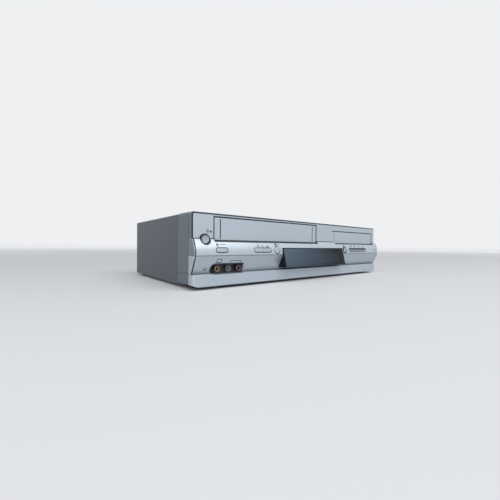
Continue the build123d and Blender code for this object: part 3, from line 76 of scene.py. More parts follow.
# Places read from the frame, and the CAD's door pins and button flanges, in metres
MM = 0.001
DOOR_PIN = 3 * MM
FLANGE = 1.5 * MM
door_low, door_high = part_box("cassette_door")
tray_low, tray_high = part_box("tray_front")
fascia_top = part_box("fascia")[1].z
cover_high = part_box("top_cover")[1]
half_width = cad_high.x
base_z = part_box("rubber_feet")[1].z
face_y = door_low.y - 0.2 * MM

# The fascia's side view: an arc from the groove's lower edge to the crease, then a straight slope inwards
GROOVE_Z = base_z + 60.5 * MM
CREASE_Z = base_z + 39.5 * MM
SLOPE_FOOT_Z = base_z + 16.5 * MM
NOSE_TOP_OUT = 1.5 * MM
CREASE_OUT = 8.5 * MM
NOSE_BULGE = 2.0 * MM
SLOPE_FOOT_IN = 3.0 * MM
FASCIA_BACK_Y = face_y + 9.8 * MM
LIP_WIDTH = 2.0 * MM
WINDOW_TOP_Z = base_z + 49.7 * MM
WINDOW_FOOT_Z = base_z + 20.0 * MM
BUTTON_Z = base_z + 46.4 * MM

# Sizes of the boards' capacitors and of the small pieces
CAN_TOP_Z = base_z + 19.2 * MM
FOOT_RADIUS = 11 * MM
WELL_RADIUS = 6.42 * MM
INK_LIFT = 0.03 * MM
INK_THICK = 0.02 * MM
PLATE_THICK = 0.2 * MM


def nose_arc():
    """Centre y, centre z and radius of the arc through both ends of the nose with the given bulge."""
    run, rise = CREASE_OUT - NOSE_TOP_OUT, GROOVE_Z - CREASE_Z
    chord = sqrt(run**2 + rise**2)
    radius = (chord**2 / 4 + NOSE_BULGE**2) / (2 * NOSE_BULGE)
    sink = radius - NOSE_BULGE
    centre_y = face_y - (NOSE_TOP_OUT + CREASE_OUT) / 2 + rise / chord * sink
    return centre_y, (GROOVE_Z + CREASE_Z) / 2 - run / chord * sink, radius


def nose_y(z):
    """The y of the fascia's front at heights z: flat above the groove, then the arc, then the slope."""
    z = np.asarray(z, float)
    centre_y, centre_z, radius = nose_arc()
    arc = centre_y - np.sqrt(np.maximum(radius**2 - (z - centre_z) ** 2, 0))
    share = (CREASE_Z - z) / (CREASE_Z - SLOPE_FOOT_Z)
    slope = face_y - CREASE_OUT + share * (CREASE_OUT + SLOPE_FOOT_IN)
    return np.where(z > GROOVE_Z, face_y, np.where(z >= CREASE_Z, arc, slope))


def middle(name):
    """The middle of a CAD node's box in (x, z)."""
    low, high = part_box(name)
    return (low.x + high.x) / 2, (low.z + high.z) / 2


class Finish:
    """A material on one Principled shader, whose sockets take patterns that read Object coordinates."""

    def __init__(self, name, color, roughness, metallic=0.0, **more):
        self.material = bpy.data.materials.new(name)
        self.material.use_nodes = True
        self.tree = self.material.node_tree
        self.shader = self.tree.nodes["Principled BSDF"]
        self.color = (*color, 1.0)
        self.material.diffuse_color = self.color
        values = {"Base_Color": self.color, "Roughness": roughness, "Metallic": metallic, **more}
        for label, value in values.items():
            self.shader.inputs[label.replace("_", " ")].default_value = value
        self.coordinates = self.add("ShaderNodeTexCoord").outputs["Object"]
        split = self.add("ShaderNodeSeparateXYZ")
        self.feed(self.coordinates, split.inputs[0])
        self.x, self.y, self.z = split.outputs

    def add(self, kind, **settings):
        """A new node with its settings."""
        node = self.tree.nodes.new(kind)
        for key, value in settings.items():
            setattr(node, key, value)
        return node

    def feed(self, value, socket):
        """Joins a socket to another, or sets it to a plain value."""
        if isinstance(value, bpy.types.NodeSocket):
            self.tree.links.new(value, socket)
        else:
            socket.default_value = value

    def read(self, node, output, place=None, **values):
        """An output of a node that reads a place, or Object coordinates where none is given."""
        self.feed(self.coordinates if place is None else place, node.inputs["Vector"])
        for label, value in values.items():
            node.inputs[label].default_value = value
        return node.outputs[output]

    def place(self, stretch=(1, 1, 1), centre=(0, 0, 0), turn=(0, 0, 0)):
        """Object coordinates about a centre, turned and then stretched."""
        moved = self.add("ShaderNodeVectorMath", operation="SUBTRACT")
        self.feed(self.coordinates, moved.inputs[0])
        moved.inputs[1].default_value = centre
        return self.read(self.add("ShaderNodeMapping"), 0, moved.outputs[0], Rotation=turn, Scale=stretch)

    def calc(self, operation, first, second=0.0, clamp=False):
        """One step of arithmetic on two values or sockets."""
        node = self.add("ShaderNodeMath", operation=operation, use_clamp=clamp)
        self.feed(first, node.inputs[0])
        self.feed(second, node.inputs[1])
        return node.outputs[0]

    def times(self, product, *factors):
        """The product of values or sockets."""
        for factor in factors:
            product = self.calc("MULTIPLY", product, factor)
        return product

    def distance(self, first, second):
        """The length of a step whose two parts are at right angles."""
        return self.calc("SQRT", self.calc("ADD", self.times(first, first), self.times(second, second)))

    def ramp(self, value, low, high, start=0.0, end=1.0):
        """The value carried from the span low to high onto start to end, held at both ends."""
        node = self.add("ShaderNodeMapRange", clamp=True)
        for socket, number in zip(node.inputs, (value, low, high, start, end)):
            self.feed(number, socket)
        return node.outputs[0]

    def past(self, value, edge, soft=0.15 * MM):
        """0 below an edge and 1 above it, fading over the soft distance on both sides."""
        return self.ramp(value, edge - soft, edge + soft)

    def between(self, value, low, high, soft):
        """1 where the value lies between low and high, fading over the soft distance."""
        return self.times(self.past(value, low, soft), self.ramp(value, high - soft, high + soft, 1.0, 0.0))

    def outside(self, low_x, high_x, low_z, high_z, radius=0.0):
        """How far a point lies outside an upright rectangle with round corners; inside is 0 or less."""
        steps = []
        for place, low, high in ((self.x, low_x, high_x), (self.z, low_z, high_z)):
            away = self.calc("ABSOLUTE", self.calc("SUBTRACT", place, (low + high) / 2))
            steps.append(self.calc("MAXIMUM", self.calc("SUBTRACT", away, (high - low) / 2 - radius), 0.0))
        return self.calc("SUBTRACT", self.distance(*steps), radius)

    def inside(self, low_x, high_x, low_z, high_z, radius=0.0, soft=0.1 * MM):
        """1 inside an upright rectangle with round corners in (x, z), fading to 0 at its edge."""
        return self.ramp(self.outside(low_x, high_x, low_z, high_z, radius), 0, 2 * soft, 1.0, 0.0)

    def noise(self, scale, detail=2.0, roughness=0.5, place=None):
        """Soft noise, 0 to 1."""
        node = self.add("ShaderNodeTexNoise")
        return self.read(node, "Fac", place, Scale=scale, Detail=detail, Roughness=roughness)

    def cells(self, scale, output="Distance"):
        """Voronoi cells."""
        return self.read(self.add("ShaderNodeTexVoronoi"), output, Scale=scale)

    def waves(self, scale, distortion, direction="X", centre=None):
        """Sine bands that follow each other along an axis, or rings about it through a centre."""
        kind = "bands" if centre is None else "rings"
        node = self.add("ShaderNodeTexWave", wave_type=kind.upper(), **{f"{kind}_direction": direction})
        return self.read(node, "Fac", centre, Scale=scale, Distortion=distortion)

    def shift(self, share, color):
        """Blends the base colour so far towards another, by a mask or a plain share."""
        node = self.add("ShaderNodeMix", data_type="RGBA")
        base = self.shader.inputs["Base Color"]
        under = base.links[0].from_socket if base.is_linked else self.color
        self.feed(share, node.inputs["Factor"])
        self.feed(under, node.inputs[6])
        self.feed((*color, 1.0), node.inputs[7])
        self.feed(node.outputs[2], base)

    def stain(self, pattern, low, high, share, color):
        """Blends up to a share of another colour in where a pattern rises from low to high."""
        self.shift(self.ramp(pattern, low, high, 0.0, share), color)

    def vary(self, label, value):
        """Feeds one of the shader's inputs with a pattern."""
        self.feed(value, self.shader.inputs[label])

    def gloss(self, pattern, low, high, smooth, rough):
        """Roughness that follows a pattern's rise from low to high."""
        self.vary("Roughness", self.ramp(pattern, low, high, smooth, rough))

    def bump(self, height, distance, strength=0.5):
        """Raises the surface by a pattern of heights, on top of earlier bumps."""
        node = self.add("ShaderNodeBump")
        normal = self.shader.inputs["Normal"]
        if normal.is_linked:
            self.feed(normal.links[0].from_socket, node.inputs["Normal"])
        self.feed(height, node.inputs["Height"])
        node.inputs["Distance"].default_value = distance
        node.inputs["Strength"].default_value = strength
        self.feed(node.outputs[0], normal)


def dress(finish, *names):
    """Gives a finish to CAD nodes."""
    for name in names:
        slots = nodes[name].data.materials
        slots.clear()
        slots.append(finish.material)


def shade(color, factor):
    """A colour made darker or lighter by a factor."""
    return tuple(min(channel * factor, 1.0) for channel in color)


def full_turn(steps):
    """Angles round a circle."""
    return np.linspace(0, 2 * pi, steps, endpoint=False)


def surface(points, closed=True):
    """A grid of points with the quads between neighbours; a closed one joins each row's ends."""
    rows, columns = points.shape[:2]
    number = np.arange(rows * columns).reshape(rows, columns)
    if closed:
        number = np.concatenate([number, number[:, :1]], axis=1)
    corners = (number[:-1, :-1], number[:-1, 1:], number[1:, 1:], number[1:, :-1])
    return points.reshape(-1, 3), np.stack(corners, axis=-1).reshape(-1, 4)


def joined(shapes):
    """Several (points, faces) pairs as one pair."""
    starts = np.cumsum([0] + [len(points) for points, _ in shapes[:-1]])
    points = np.concatenate([points for points, _ in shapes])
    return points, np.concatenate([faces + start for (_, faces), start in zip(shapes, starts)])


def turned(profile, centre, axis="Y", steps=48):
    """A profile of (radius, place along the axis) points carried round the axis through the centre."""
    profile = np.asarray(profile, float)
    turn = full_turn(steps)
    across, other = profile[:, :1] * np.cos(turn), profile[:, :1] * np.sin(turn)
    along = np.broadcast_to(profile[:, 1:], across.shape)
    order = (across, other, along) if axis == "Z" else (across, along, other)
    return surface(np.stack(order, axis=-1) + np.asarray(centre, float))


def mesh_of(name, shape, finish):
    """A mesh from points and faces, with its one finish."""
    points, faces = shape
    mesh = bpy.data.meshes.new(name)
    mesh.from_pydata(points.tolist(), [], faces.tolist())
    mesh.materials.append(finish.material)
    return mesh


def linked(name, data):
    """A new object in the scene's collection."""
    thing = bpy.data.objects.new(name, data)
    bpy.context.scene.collection.objects.link(thing)
    return thing


def piece(name, shape, body, finish, smooth=True, outward=True):
    """One object from points and faces, with doubles merged and faces turned outwards, on its body."""
    mesh = mesh_of(name, shape, finish)
    solid = bmesh.new()
    solid.from_mesh(mesh)
    bmesh.ops.remove_doubles(solid, verts=solid.verts, dist=1e-6)
    if outward:
        bmesh.ops.recalc_face_normals(solid, faces=solid.faces)
    solid.to_mesh(mesh)
    solid.free()
    mesh.polygons.foreach_set("use_smooth", [smooth] * len(mesh.polygons))
    thing = linked(name, mesh)
    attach(thing, body)
    return thing


class Ink:
    """Flat printed shapes on an upright surface, whose y at a height is given by a function."""

    def __init__(self, depth, size):
        self.depth = depth
        self.size = size
        self.thin = 0.17 * size
        self.shapes = []

    def add(self, x, z, closed=False):
        """Keeps a grid of points laid on the surface."""
        self.shapes.append(surface(np.stack([x, self.depth(z), z], axis=-1), closed))

    def make(self, name, finish, body):
        """One piece from all the shapes, as thick as a layer of ink."""
        thing = piece(name, joined(self.shapes), body, finish, smooth=False, outward=False)
        thing.modifiers.new("layer", "SOLIDIFY").thickness = INK_THICK

    def quad(self, x, z, width, height):
        """An upright rectangle about a centre."""
        across, upright = np.meshgrid(np.linspace(-0.5, 0.5, 3), np.linspace(-0.5, 0.5, 3))
        self.add(x + across * width, z + upright * height)

    def line(self, x, z, length):
        """A thin level line."""
        self.quad(x, z, length, self.thin)

    def bar(self, x, z, wide, tall):
        """An upright rectangle, in shares of the size."""
        self.quad(x, z, wide * self.size, tall * self.size)

    def box(self, x, z, wide, tall):
        """The outline of a rectangle, in shares of the size."""
        half_x, half_z = wide * self.size / 2, tall * self.size / 2
        for way in (-1, 1):
            self.quad(x, z + way * half_z, 2 * half_x + self.thin, self.thin)
            self.quad(x + way * half_x, z, self.thin, 2 * half_z - self.thin)

    def wedge(self, x, z, way):
        """A triangle pointing up or down: its width shrinks evenly with height."""
        across, upright = np.meshgrid(np.linspace(-0.5, 0.5, 5), np.linspace(0, 1, 5))
        reach, wide = 0.9 * self.size, (1 - upright) if way > 0 else upright
        self.add(x + across * reach * wide, z + (upright - 0.5) * 0.8 * reach)

    def arrow(self, x, z, way, share=0.8):
        """A triangle pointing left or right."""
        along, upright = np.meshgrid(np.linspace(0, 1, 5), np.linspace(-0.5, 0.5, 5))
        reach = share * self.size
        self.add(x + way * (along - 0.5) * 0.8 * reach, z + upright * reach * (1 - along))

    def disc(self, x, z, share, inner=0.0):
        """A filled circle, or a ring with an inner radius."""
        turn, reach = np.meshgrid(full_turn(24), np.linspace(inner, share, 4) * self.size)
        self.add(x + reach * np.cos(turn), z + reach * np.sin(turn), closed=True)

    def stroke(self, x, z, points):
        """A line of even width through points given in shares of the size."""
        points = np.asarray(points, float)
        along = np.gradient(points, axis=0)
        along /= np.linalg.norm(along, axis=1, keepdims=True)
        side = np.stack([-along[:, 1], along[:, 0]], axis=-1) * self.thin / 2
        edges = np.stack([points * self.size - side, points * self.size + side])
        self.add(x + edges[..., 0], z + edges[..., 1])

    def draw(self, symbol, x, z):
        """One of the symbols about a place."""
        for shape, right, up, *sizes in SYMBOLS[symbol]:
            getattr(self, shape)(x + right * self.size, z + up * self.size, *sizes)


BAR_BELOW = ("bar", 0, -0.45, 0.9, 0.18)
WAVE = [(place, 0.35 * sin(pi * place)) for place in np.linspace(-1, 1, 33)]

# Each shape of a symbol with its place and its sizes, in shares of the symbol's size
SYMBOLS = {
    "eject": (("wedge", 0, 0.2, 1), BAR_BELOW),
    "down": (("wedge", 0, 0.2, -1), BAR_BELOW),
    "into": (("arrow", -0.2, 0, 1), ("bar", 0.4, 0, 0.18, 0.9)),
    "back": (("arrow", -0.4, 0, -1), ("arrow", 0.3, 0, -1)),
    "stop": (("bar", 0, 0, 0.7, 0.7),),
    "play": (("arrow", 0, 0, 1, 0.9),),
    "pause": (("bar", -0.25, 0, 0.22, 0.75), ("bar", 0.25, 0, 0.22, 0.75)),
    "power": (("disc", 0, 0, 0.44, 0.26), ("bar", 0, 0.55, 0.12, 0.3)),
    "aerial": (
        ("stroke", 0, 0, [(0, -0.9), (0, 0), (0, 0.9)]),
        ("stroke", 0, 0, [(-0.12, 0.12), (-0.4, 0.5), (-0.7, 0.9)]),
        ("stroke", 0, 0, [(0.12, 0.12), (0.4, 0.5), (0.7, 0.9)]),
    ),
    "wave": (("stroke", 0, 0, WAVE),),
}


# Finishes


def silver_paint(name, look):
    """Satin silver paint: fine metal flakes, a faint orange peel and a thin clear coat."""
    finish = Finish(name, look.silver, 0.36, 0.45, Coat_Weight=0.25, Coat_Roughness=0.2)
    spark = finish.add("ShaderNodeSeparateColor")
    finish.feed(finish.cells(1 / look.flake, "Color"), spark.inputs[0])
    finish.stain(spark.outputs[0], 0.0, 1.0, 0.16, shade(look.silver, 0.72))
    finish.stain(finish.noise(14, 3), 0.35, 0.75, 0.12, shade(look.silver, 0.85))
    finish.gloss(finish.noise(90, 3), 0.3, 0.7, 0.33, 0.42)
    finish.bump(finish.noise(700), 0.03 * MM)
    return finish


def face_of(first, last=None):
    """A button's face in (x, z), or a row's from its first to its last button: the boxes less the flange."""
    low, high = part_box(first)
    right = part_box(last or first)[1].x
    return low.x + FLANGE, right - FLANGE, low.z + FLANGE, high.z - FLANGE


def add_fascia_lines(finish, look):
    """The front's dark lines: door and tray surrounds and gaps round the buttons, painted as the shade in those
    gaps, painted shade in the groove, and parting lines at the crease and the slope's foot.
    """
    line, width, gap_shade = look.line, look.line_width, look.gap_width
    # Painted shade in the gaps round the door and the tray, wider below them where the shadow falls
    door = (door_low.x + DOOR_PIN, door_high.x - DOOR_PIN, door_low.z, door_high.z)
    tray = (tray_low.x, tray_high.x, tray_low.z, tray_high.z)
    for (left, right, bottom, top), beside, below, above in ((door, 1.1, 1.6, 1.0), (tray, 0.7, 1.1, 0.9)):
        edges = (left - beside * width, right + beside * width, bottom - below * width, top + above * width)
        finish.shift(finish.inside(*edges), line)
    # Painted shade in the tray's top gap, carried on a little to its left
    tray_top_shade = (tray_low.x - 7 * MM, tray_low.x, tray_high.z, tray_high.z + 0.9 * width)
    finish.shift(finish.inside(*tray_top_shade), line)
    # Painted shade in the gaps round the buttons and the button rows
    faces = [(face_of(name), True) for name in ("eject_button", "record_button", "open_button")]
    faces.append((face_of("channel_down_button", "channel_up_button"), True))
    faces.append((face_of("transport_button_1", "transport_button_4"), False))
    for (left, right, bottom, top), is_round in faces:
        radius = gap_shade + (top - bottom) / 2 if is_round else gap_shade
        finish.shift(finish.inside(left - gap_shade, right + gap_shade, bottom - gap_shade, top + gap_shade, radius), line)
    for height, half, share in ((CREASE_Z, 0.4 * MM, 0.85), (SLOPE_FOOT_Z - 0.2 * MM, 0.35 * MM, 0.8)):
        band = finish.between(finish.z, height - half, height + half, 0.1 * MM)
        finish.shift(finish.times(band, share), line)
    # Painted shade in the groove between the upper face and the nose
    finish.shift(finish.between(finish.z, GROOVE_Z - 0.1 * MM, GROOVE_Z + 1.1 * MM, 0.05 * MM), line)


def add_outer_edge(finish, look):
    """The dark rim round the upper face, its top a painted shadow where the fascia meets the cover, the dark lines
    down the nose's ends, and the ends and top behind it.
    """
    # The rim along the top is painted shadow under the cover's edge
    reach, top = half_width - 0.75 * look.rim_width, fascia_top - look.rim_width
    rim = finish.outside(-reach, reach, GROOVE_Z - 9 * MM, top, 1.2 * MM)
    upper = finish.ramp(finish.z, GROOVE_Z, GROOVE_Z + 0.5 * MM)
    finish.shift(finish.times(finish.past(rim, 0.0), upper), look.line)
    end = finish.past(finish.calc("ABSOLUTE", finish.x), reach)
    lower = finish.between(finish.z, SLOPE_FOOT_Z, GROOVE_Z, 0.3 * MM)
    normal = finish.add("ShaderNodeSeparateXYZ")
    finish.feed(finish.add("ShaderNodeTexCoord").outputs["Normal"], normal.inputs[0])
    forward = finish.ramp(normal.outputs["Y"], -0.6, -0.4, 1.0, 0.0)
    finish.shift(finish.times(end, lower, forward), look.line)
    outer = finish.calc("MAXIMUM", end, finish.past(finish.z, top))
    add_frame_ends(finish, look, finish.times(outer, finish.calc("SUBTRACT", 1.0, forward)), upper)


def add_frame_ends(finish, look, outer, upper):
    """Ends and top, frame-coloured behind a silver lip along the nose's arc, with a dark seam at the back that is
    painted shade of the gap to the frame.
    """
    centre_y, centre_z, radius = nose_arc()
    step_y, step_z = finish.calc("SUBTRACT", finish.y, centre_y), finish.calc("SUBTRACT", finish.z, centre_z)
    depth = finish.calc("SUBTRACT", radius, finish.distance(step_y, step_z))
    behind_lip = finish.calc("MAXIMUM", finish.past(depth, LIP_WIDTH, 0.4 * MM), upper)
    nose_share = finish.ramp(finish.z, CREASE_Z - 0.5 * MM, CREASE_Z + 0.5 * MM, 0.1, 1.0)
    upper_share = finish.ramp(upper, 0.0, 1.0, 1.0, 0.65)
    finish.shift(finish.times(nose_share, upper_share, behind_lip, outer), shade(look.frame, 1.25))
    # Painted shade in the gap between the fascia's ends and the frame
    seam = finish.past(finish.y, FASCIA_BACK_Y - 0.9 * MM, 0.1 * MM)
    finish.shift(finish.times(seam, upper, outer, 0.8), look.line)


def grained_plastic(name, color, grain=0.35 * MM, roughness=0.55):
    """Moulded plastic with a fine eroded grain: two sizes of cells, and slightly lighter high spots."""
    finish = Finish(name, color, roughness, Specular_IOR_Level=0.45)
    fine = finish.noise(1 / grain, 3)
    finish.stain(fine, 0.4, 0.8, 0.35, shade(color, 1.25))
    finish.stain(finish.noise(9, 3), 0.4, 0.8, 0.25, shade(color, 0.85))
    finish.gloss(fine, 0.3, 0.7, roughness - 0.06, roughness + 0.08)
    finish.bump(finish.cells(1 / (2 * grain)), 0.04 * MM)
    finish.bump(fine, 0.02 * MM)
    return finish


def textured_cover(look):
    """Dark textured paint on sheet steel: tiny wrinkles, a soft unevenness and rubbed folds."""
    finish = Finish("cover_paint", look.cover, 0.5, 0.15, Coat_Weight=0.08, Coat_Roughness=0.35)
    wrinkle = finish.noise(1100, 3, 0.6)
    finish.stain(wrinkle, 0.42, 0.72, 0.4, shade(look.cover, 1.5))
    finish.stain(finish.noise(7, 4), 0.35, 0.75, 0.3, shade(look.cover, 0.8))
    folds = ((finish.calc("ABSOLUTE", finish.x), cover_high.x), (finish.z, cover_high.z))
    rub = finish.times(*[finish.ramp(place, end - 1.6 * MM, end - 0.2 * MM) for place, end in folds])
    finish.stain(finish.times(rub, finish.noise(160, 3)), 0.35, 0.6, 0.5, shade(look.cover, 2.6))
    finish.gloss(wrinkle, 0.3, 0.7, 0.44, 0.6)
    finish.bump(wrinkle, 0.09 * MM)
    return finish


def plated_steel(name, color=(0.60, 0.61, 0.62), roll="X"):
    """Zinc-plated sheet: rolling streaks along one axis and a faint cloudiness."""
    finish = Finish(name, color, 0.34, 1.0)
    stretch = [1 if letter == roll else 18 for letter in "XYZ"]
    streak = finish.noise(45, 4, 0.6, finish.place(stretch))
    finish.stain(finish.noise(22, 4), 0.35, 0.7, 0.4, shade(color, 0.78))
    finish.stain(streak, 0.45, 0.75, 0.25, shade(color, 1.25))
    finish.gloss(streak, 0.3, 0.7, 0.27, 0.44)
    finish.bump(streak, 0.02 * MM, 0.4)
    return finish


def turned_metal(name, color, joint, lean=0.0):
    """Turned metal: fine rings about a joint's axis, with a light haze."""
    finish = Finish(name, color, 0.22, 1.0, Anisotropic=0.4)
    place = finish.place(centre=joints[joint]["pos_m"], turn=(0, lean, 0))
    ring = finish.waves(1500, 0.4, "Z", place)
    finish.gloss(ring, 0.2, 0.8, 0.16, 0.3)
    finish.stain(finish.noise(60, 3, place=place), 0.4, 0.7, 0.2, shade(color, 0.8))
    finish.bump(ring, 0.006 * MM, 0.3)
    return finish


def cast_metal(name, color=(0.52, 0.53, 0.54)):
    """Die-cast metal: a fine sandy skin with flow marks."""
    finish = Finish(name, color, 0.46, 0.9)
    sand = finish.noise(1600)
    finish.stain(finish.noise(40, 4), 0.4, 0.7, 0.4, shade(color, 0.72))
    finish.gloss(sand, 0.3, 0.7, 0.38, 0.56)
    finish.bump(sand, 0.03 * MM)
    return finish


def smoked_window(look):
    """Polished smoked acrylic: near black, with a painted reflection that makes it paler at its upper left, and
    the display field just showing.
    """
    finish = Finish("smoked_window", look.window, 0.08, IOR=1.42, Specular_IOR_Level=0.2)
    low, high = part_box("display_module")
    margin, foot = 3 * MM, 5 * MM
    field = finish.inside(low.x + margin, high.x - margin, low.z + margin, high.z - foot, 1 * MM, 0.5 * MM)
    finish.shift(finish.times(field, 0.35), look.display)
    # Painted reflection: a glare strongest at the upper left, fading to the right and downwards, kept off the dark
    # edge at the top and the left
    left, right = low.x - 15 * MM, high.x + 15 * MM
    painted_glare = finish.ramp(finish.x, left, left + 0.85 * (right - left), 1.0, 0.0)
    painted_glare = finish.times(painted_glare, finish.ramp(finish.z, WINDOW_FOOT_Z, WINDOW_TOP_Z, 0.7, 1.15))
    edge, soft = look.edge_width, 0.4 * MM
    face = finish.times(
        finish.ramp(finish.x, left + edge, left + edge + soft),
        finish.ramp(finish.z, WINDOW_TOP_Z - edge - soft, WINDOW_TOP_Z - edge, 1.0, 0.0),
    )
    finish.shift(finish.calc("MULTIPLY", painted_glare, face, clamp=True), shade(look.display, 2.6))
    finish.gloss(finish.noise(300, 4), 0.4, 0.8, 0.06, 0.14)
    return finish


def board_green(name, look):
    """A circuit board: dark green mask over paler tracks, with tinned pads in rows."""
    finish = Finish(name, look.board, 0.34, Coat_Weight=0.3, Coat_Roughness=0.15)
    across = finish.ramp(finish.waves(55, 3.5, "X"), 0.82, 0.86)
    along = finish.ramp(finish.waves(48, 4.0, "Y"), 0.84, 0.88)
    tracks = finish.calc("MAXIMUM", across, along)
    finish.shift(finish.times(tracks, 0.7), shade(look.board, 1.9))
    pads = finish.ramp(finish.cells(330), 0.16, 0.2, 1.0, 0.0)
    rows = finish.ramp(finish.noise(60), 0.52, 0.56)
    finish.shift(finish.times(pads, rows), (0.62, 0.62, 0.58))
    finish.bump(tracks, 0.03 * MM, 0.4)
    return finish


def moulded(name, color, roughness, **more):
    """Plain moulded plastic with flow marks and a very fine skin."""
    finish = Finish(name, color, roughness, **more)
    finish.stain(finish.noise(120, 3), 0.35, 0.75, 0.2, shade(color, 0.75))
    finish.gloss(finish.noise(500), 0.3, 0.7, roughness - 0.05, roughness + 0.08)
    finish.bump(finish.noise(2200), 0.01 * MM, 0.4)
    return finish


def black_rubber():
    """Matt black rubber with a dusty bloom."""
    finish = Finish("black_rubber", (0.022, 0.022, 0.024), 0.82, Specular_IOR_Level=0.3)
    finish.stain(finish.noise(260, 5, 0.65), 0.5, 0.8, 0.3, (0.10, 0.10, 0.10))
    finish.bump(finish.noise(1800, 3), 0.04 * MM, 0.6)
    return finish


def speckled_glass(name, color, roughness, speck, **more):
    """Tinted glass under a clear coat, with fine specks."""
    finish = Finish(name, color, roughness, Coat_Weight=0.6, **more)
    finish.stain(finish.noise(900), 0.4, 0.7, 0.3, speck)
    return finish


def component_mix():
    """Chips, capacitors and their like: black bodies, with bare aluminium on the capacitors' tops."""
    finish = Finish("component_mix", (0.03, 0.03, 0.035), 0.42)
    metal = finish.between(finish.z, CAN_TOP_Z, CAN_TOP_Z + 0.6 * MM, 0.1 * MM)
    finish.shift(metal, (0.7, 0.7, 0.71))
    finish.vary("Metallic", metal)
    finish.stain(finish.noise(900), 0.5, 0.7, 0.25, (0.09, 0.09, 0.10))
    finish.bump(finish.noise(1500), 0.02 * MM)
    return finish


def supply_mix(look):
    """The power supply: board, steel core, taped winding and an aluminium heat sink, by their places."""
    finish = Finish("supply_mix", (0.05, 0.05, 0.055), 0.4)
    low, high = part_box("power_supply")
    board_top, sink_foot, winding_foot = low.z + 1.6 * MM, low.z + 14.1 * MM, low.z + 25 * MM
    core_left, core_right, sink_left, sink_right = [low.x + place * MM for place in (46, 78, 9, 34.5)]
    core = finish.between(finish.x, core_left, core_right, 0.05 * MM)
    finish.shift(core, (0.20, 0.20, 0.21))
    winding = finish.between(finish.z, winding_foot, high.z, 0.1 * MM)
    finish.shift(finish.times(core, winding), (0.55, 0.42, 0.12))
    sink = finish.between(finish.x, sink_left, sink_right, 0.05 * MM)
    sink = finish.times(sink, finish.past(finish.z, sink_foot, 0.1 * MM))
    finish.shift(sink, (0.70, 0.71, 0.72))
    finish.vary("Metallic", finish.times(sink, 0.9))
    board = finish.ramp(finish.z, board_top - 0.1 * MM, board_top + 0.1 * MM, 1.0, 0.0)
    finish.shift(board, look.board)
    finish.bump(finish.times(finish.waves(380, 0.0), core), 0.1 * MM, 0.3)
    return finish


# Property groups


def tint(name, description, default):
    """A colour that a user would change."""
    return FloatVectorProperty(name=name, description=description, subtype="COLOR", default=default)


def span(name, description, default):
    """A length that a user would change, in metres."""
    return FloatProperty(name=name, description=description, unit="LENGTH", default=default)


def spot(name, description, default):
    """A place that a user would change, in metres."""
    return FloatVectorProperty(name=name, description=description, subtype="XYZ", default=default)


def amount(name, description, default, subtype="NONE"):
    """A plain number, share or angle that a user would change."""
    return FloatProperty(name=name, description=description, subtype=subtype, default=default)


class FasciaLook(bpy.types.PropertyGroup):
    """Colours and line sizes of the front."""

    silver: tint("Silver", "Colour of the painted front", (0.46, 0.525, 0.59))
    # line is the dark colour of the painted shade in the gaps, the groove, the rim and the well, and of the other
    # dark lines
    line: tint("Lines", "Colour of the gaps and parting lines", (0.012, 0.018, 0.027))
    frame: tint("Frame", "Colour of the moulded frame", (0.120, 0.147, 0.172))
    window: tint("Window", "Colour of the smoked window", (0.007, 0.010, 0.015))
    display: tint("Display", "Display field behind the window", (0.030, 0.046, 0.062))
    # line_width and gap_width set the painted shade round the door, the tray and the buttons; rim_width sets the
    # dark rim whose top is painted shadow
    line_width: span("Line width", "Width of the dark edge over the door", 1.5 * MM)
    rim_width: span("Rim width", "Width of the dark rim over the silver face", 2.4 * MM)
    gap_width: span("Gap width", "Width of the dark edge round a button", 1.0 * MM)
    edge_width: span("Window edge", "Width of the window's dark edge", 1.2 * MM)
    flake: span("Flake", "Size of a metal flake", 0.35 * MM)
    mark_size: span("Mark", "Height of a printed symbol", 4.1 * MM)
    # ring_width sets the dark ring that is painted shade of the power button's well
    ring_width: span("Ring", "Width of the dark ring round the power button", 1.0 * MM)


class CaseLook(bpy.types.PropertyGroup):
    """Colours of the case and its rear."""

    cover: tint("Cover", "Colour of the textured cover", (0.067, 0.081, 0.099))
    board: tint("Boards", "Colour of the circuit boards", (0.035, 0.16, 0.06))
    red: tint("Red", "Red sockets", (0.55, 0.03, 0.03))
    white: tint("White", "White sockets", (0.75, 0.75, 0.73))
    yellow: tint("Yellow", "Yellow sockets", (0.80, 0.58, 0.03))
    # front_shade darkens the front sockets as painted shade of their pocket
    front_shade: amount("Front shade", "How much darker the front sockets' plastic is", 0.84, "FACTOR")
    rear_mark_size: span("Rear marks", "Height of a printed symbol at the rear", 3.6 * MM)
    plate_width: span("Plate width", "Width of the bare plate at the rear", 72 * MM)
    plate_height: span("Plate height", "Height of the bare plate at the rear", 24 * MM)
    thread_pitch: span("Thread", "Pitch of the aerial sockets' thread", 0.8 * MM)


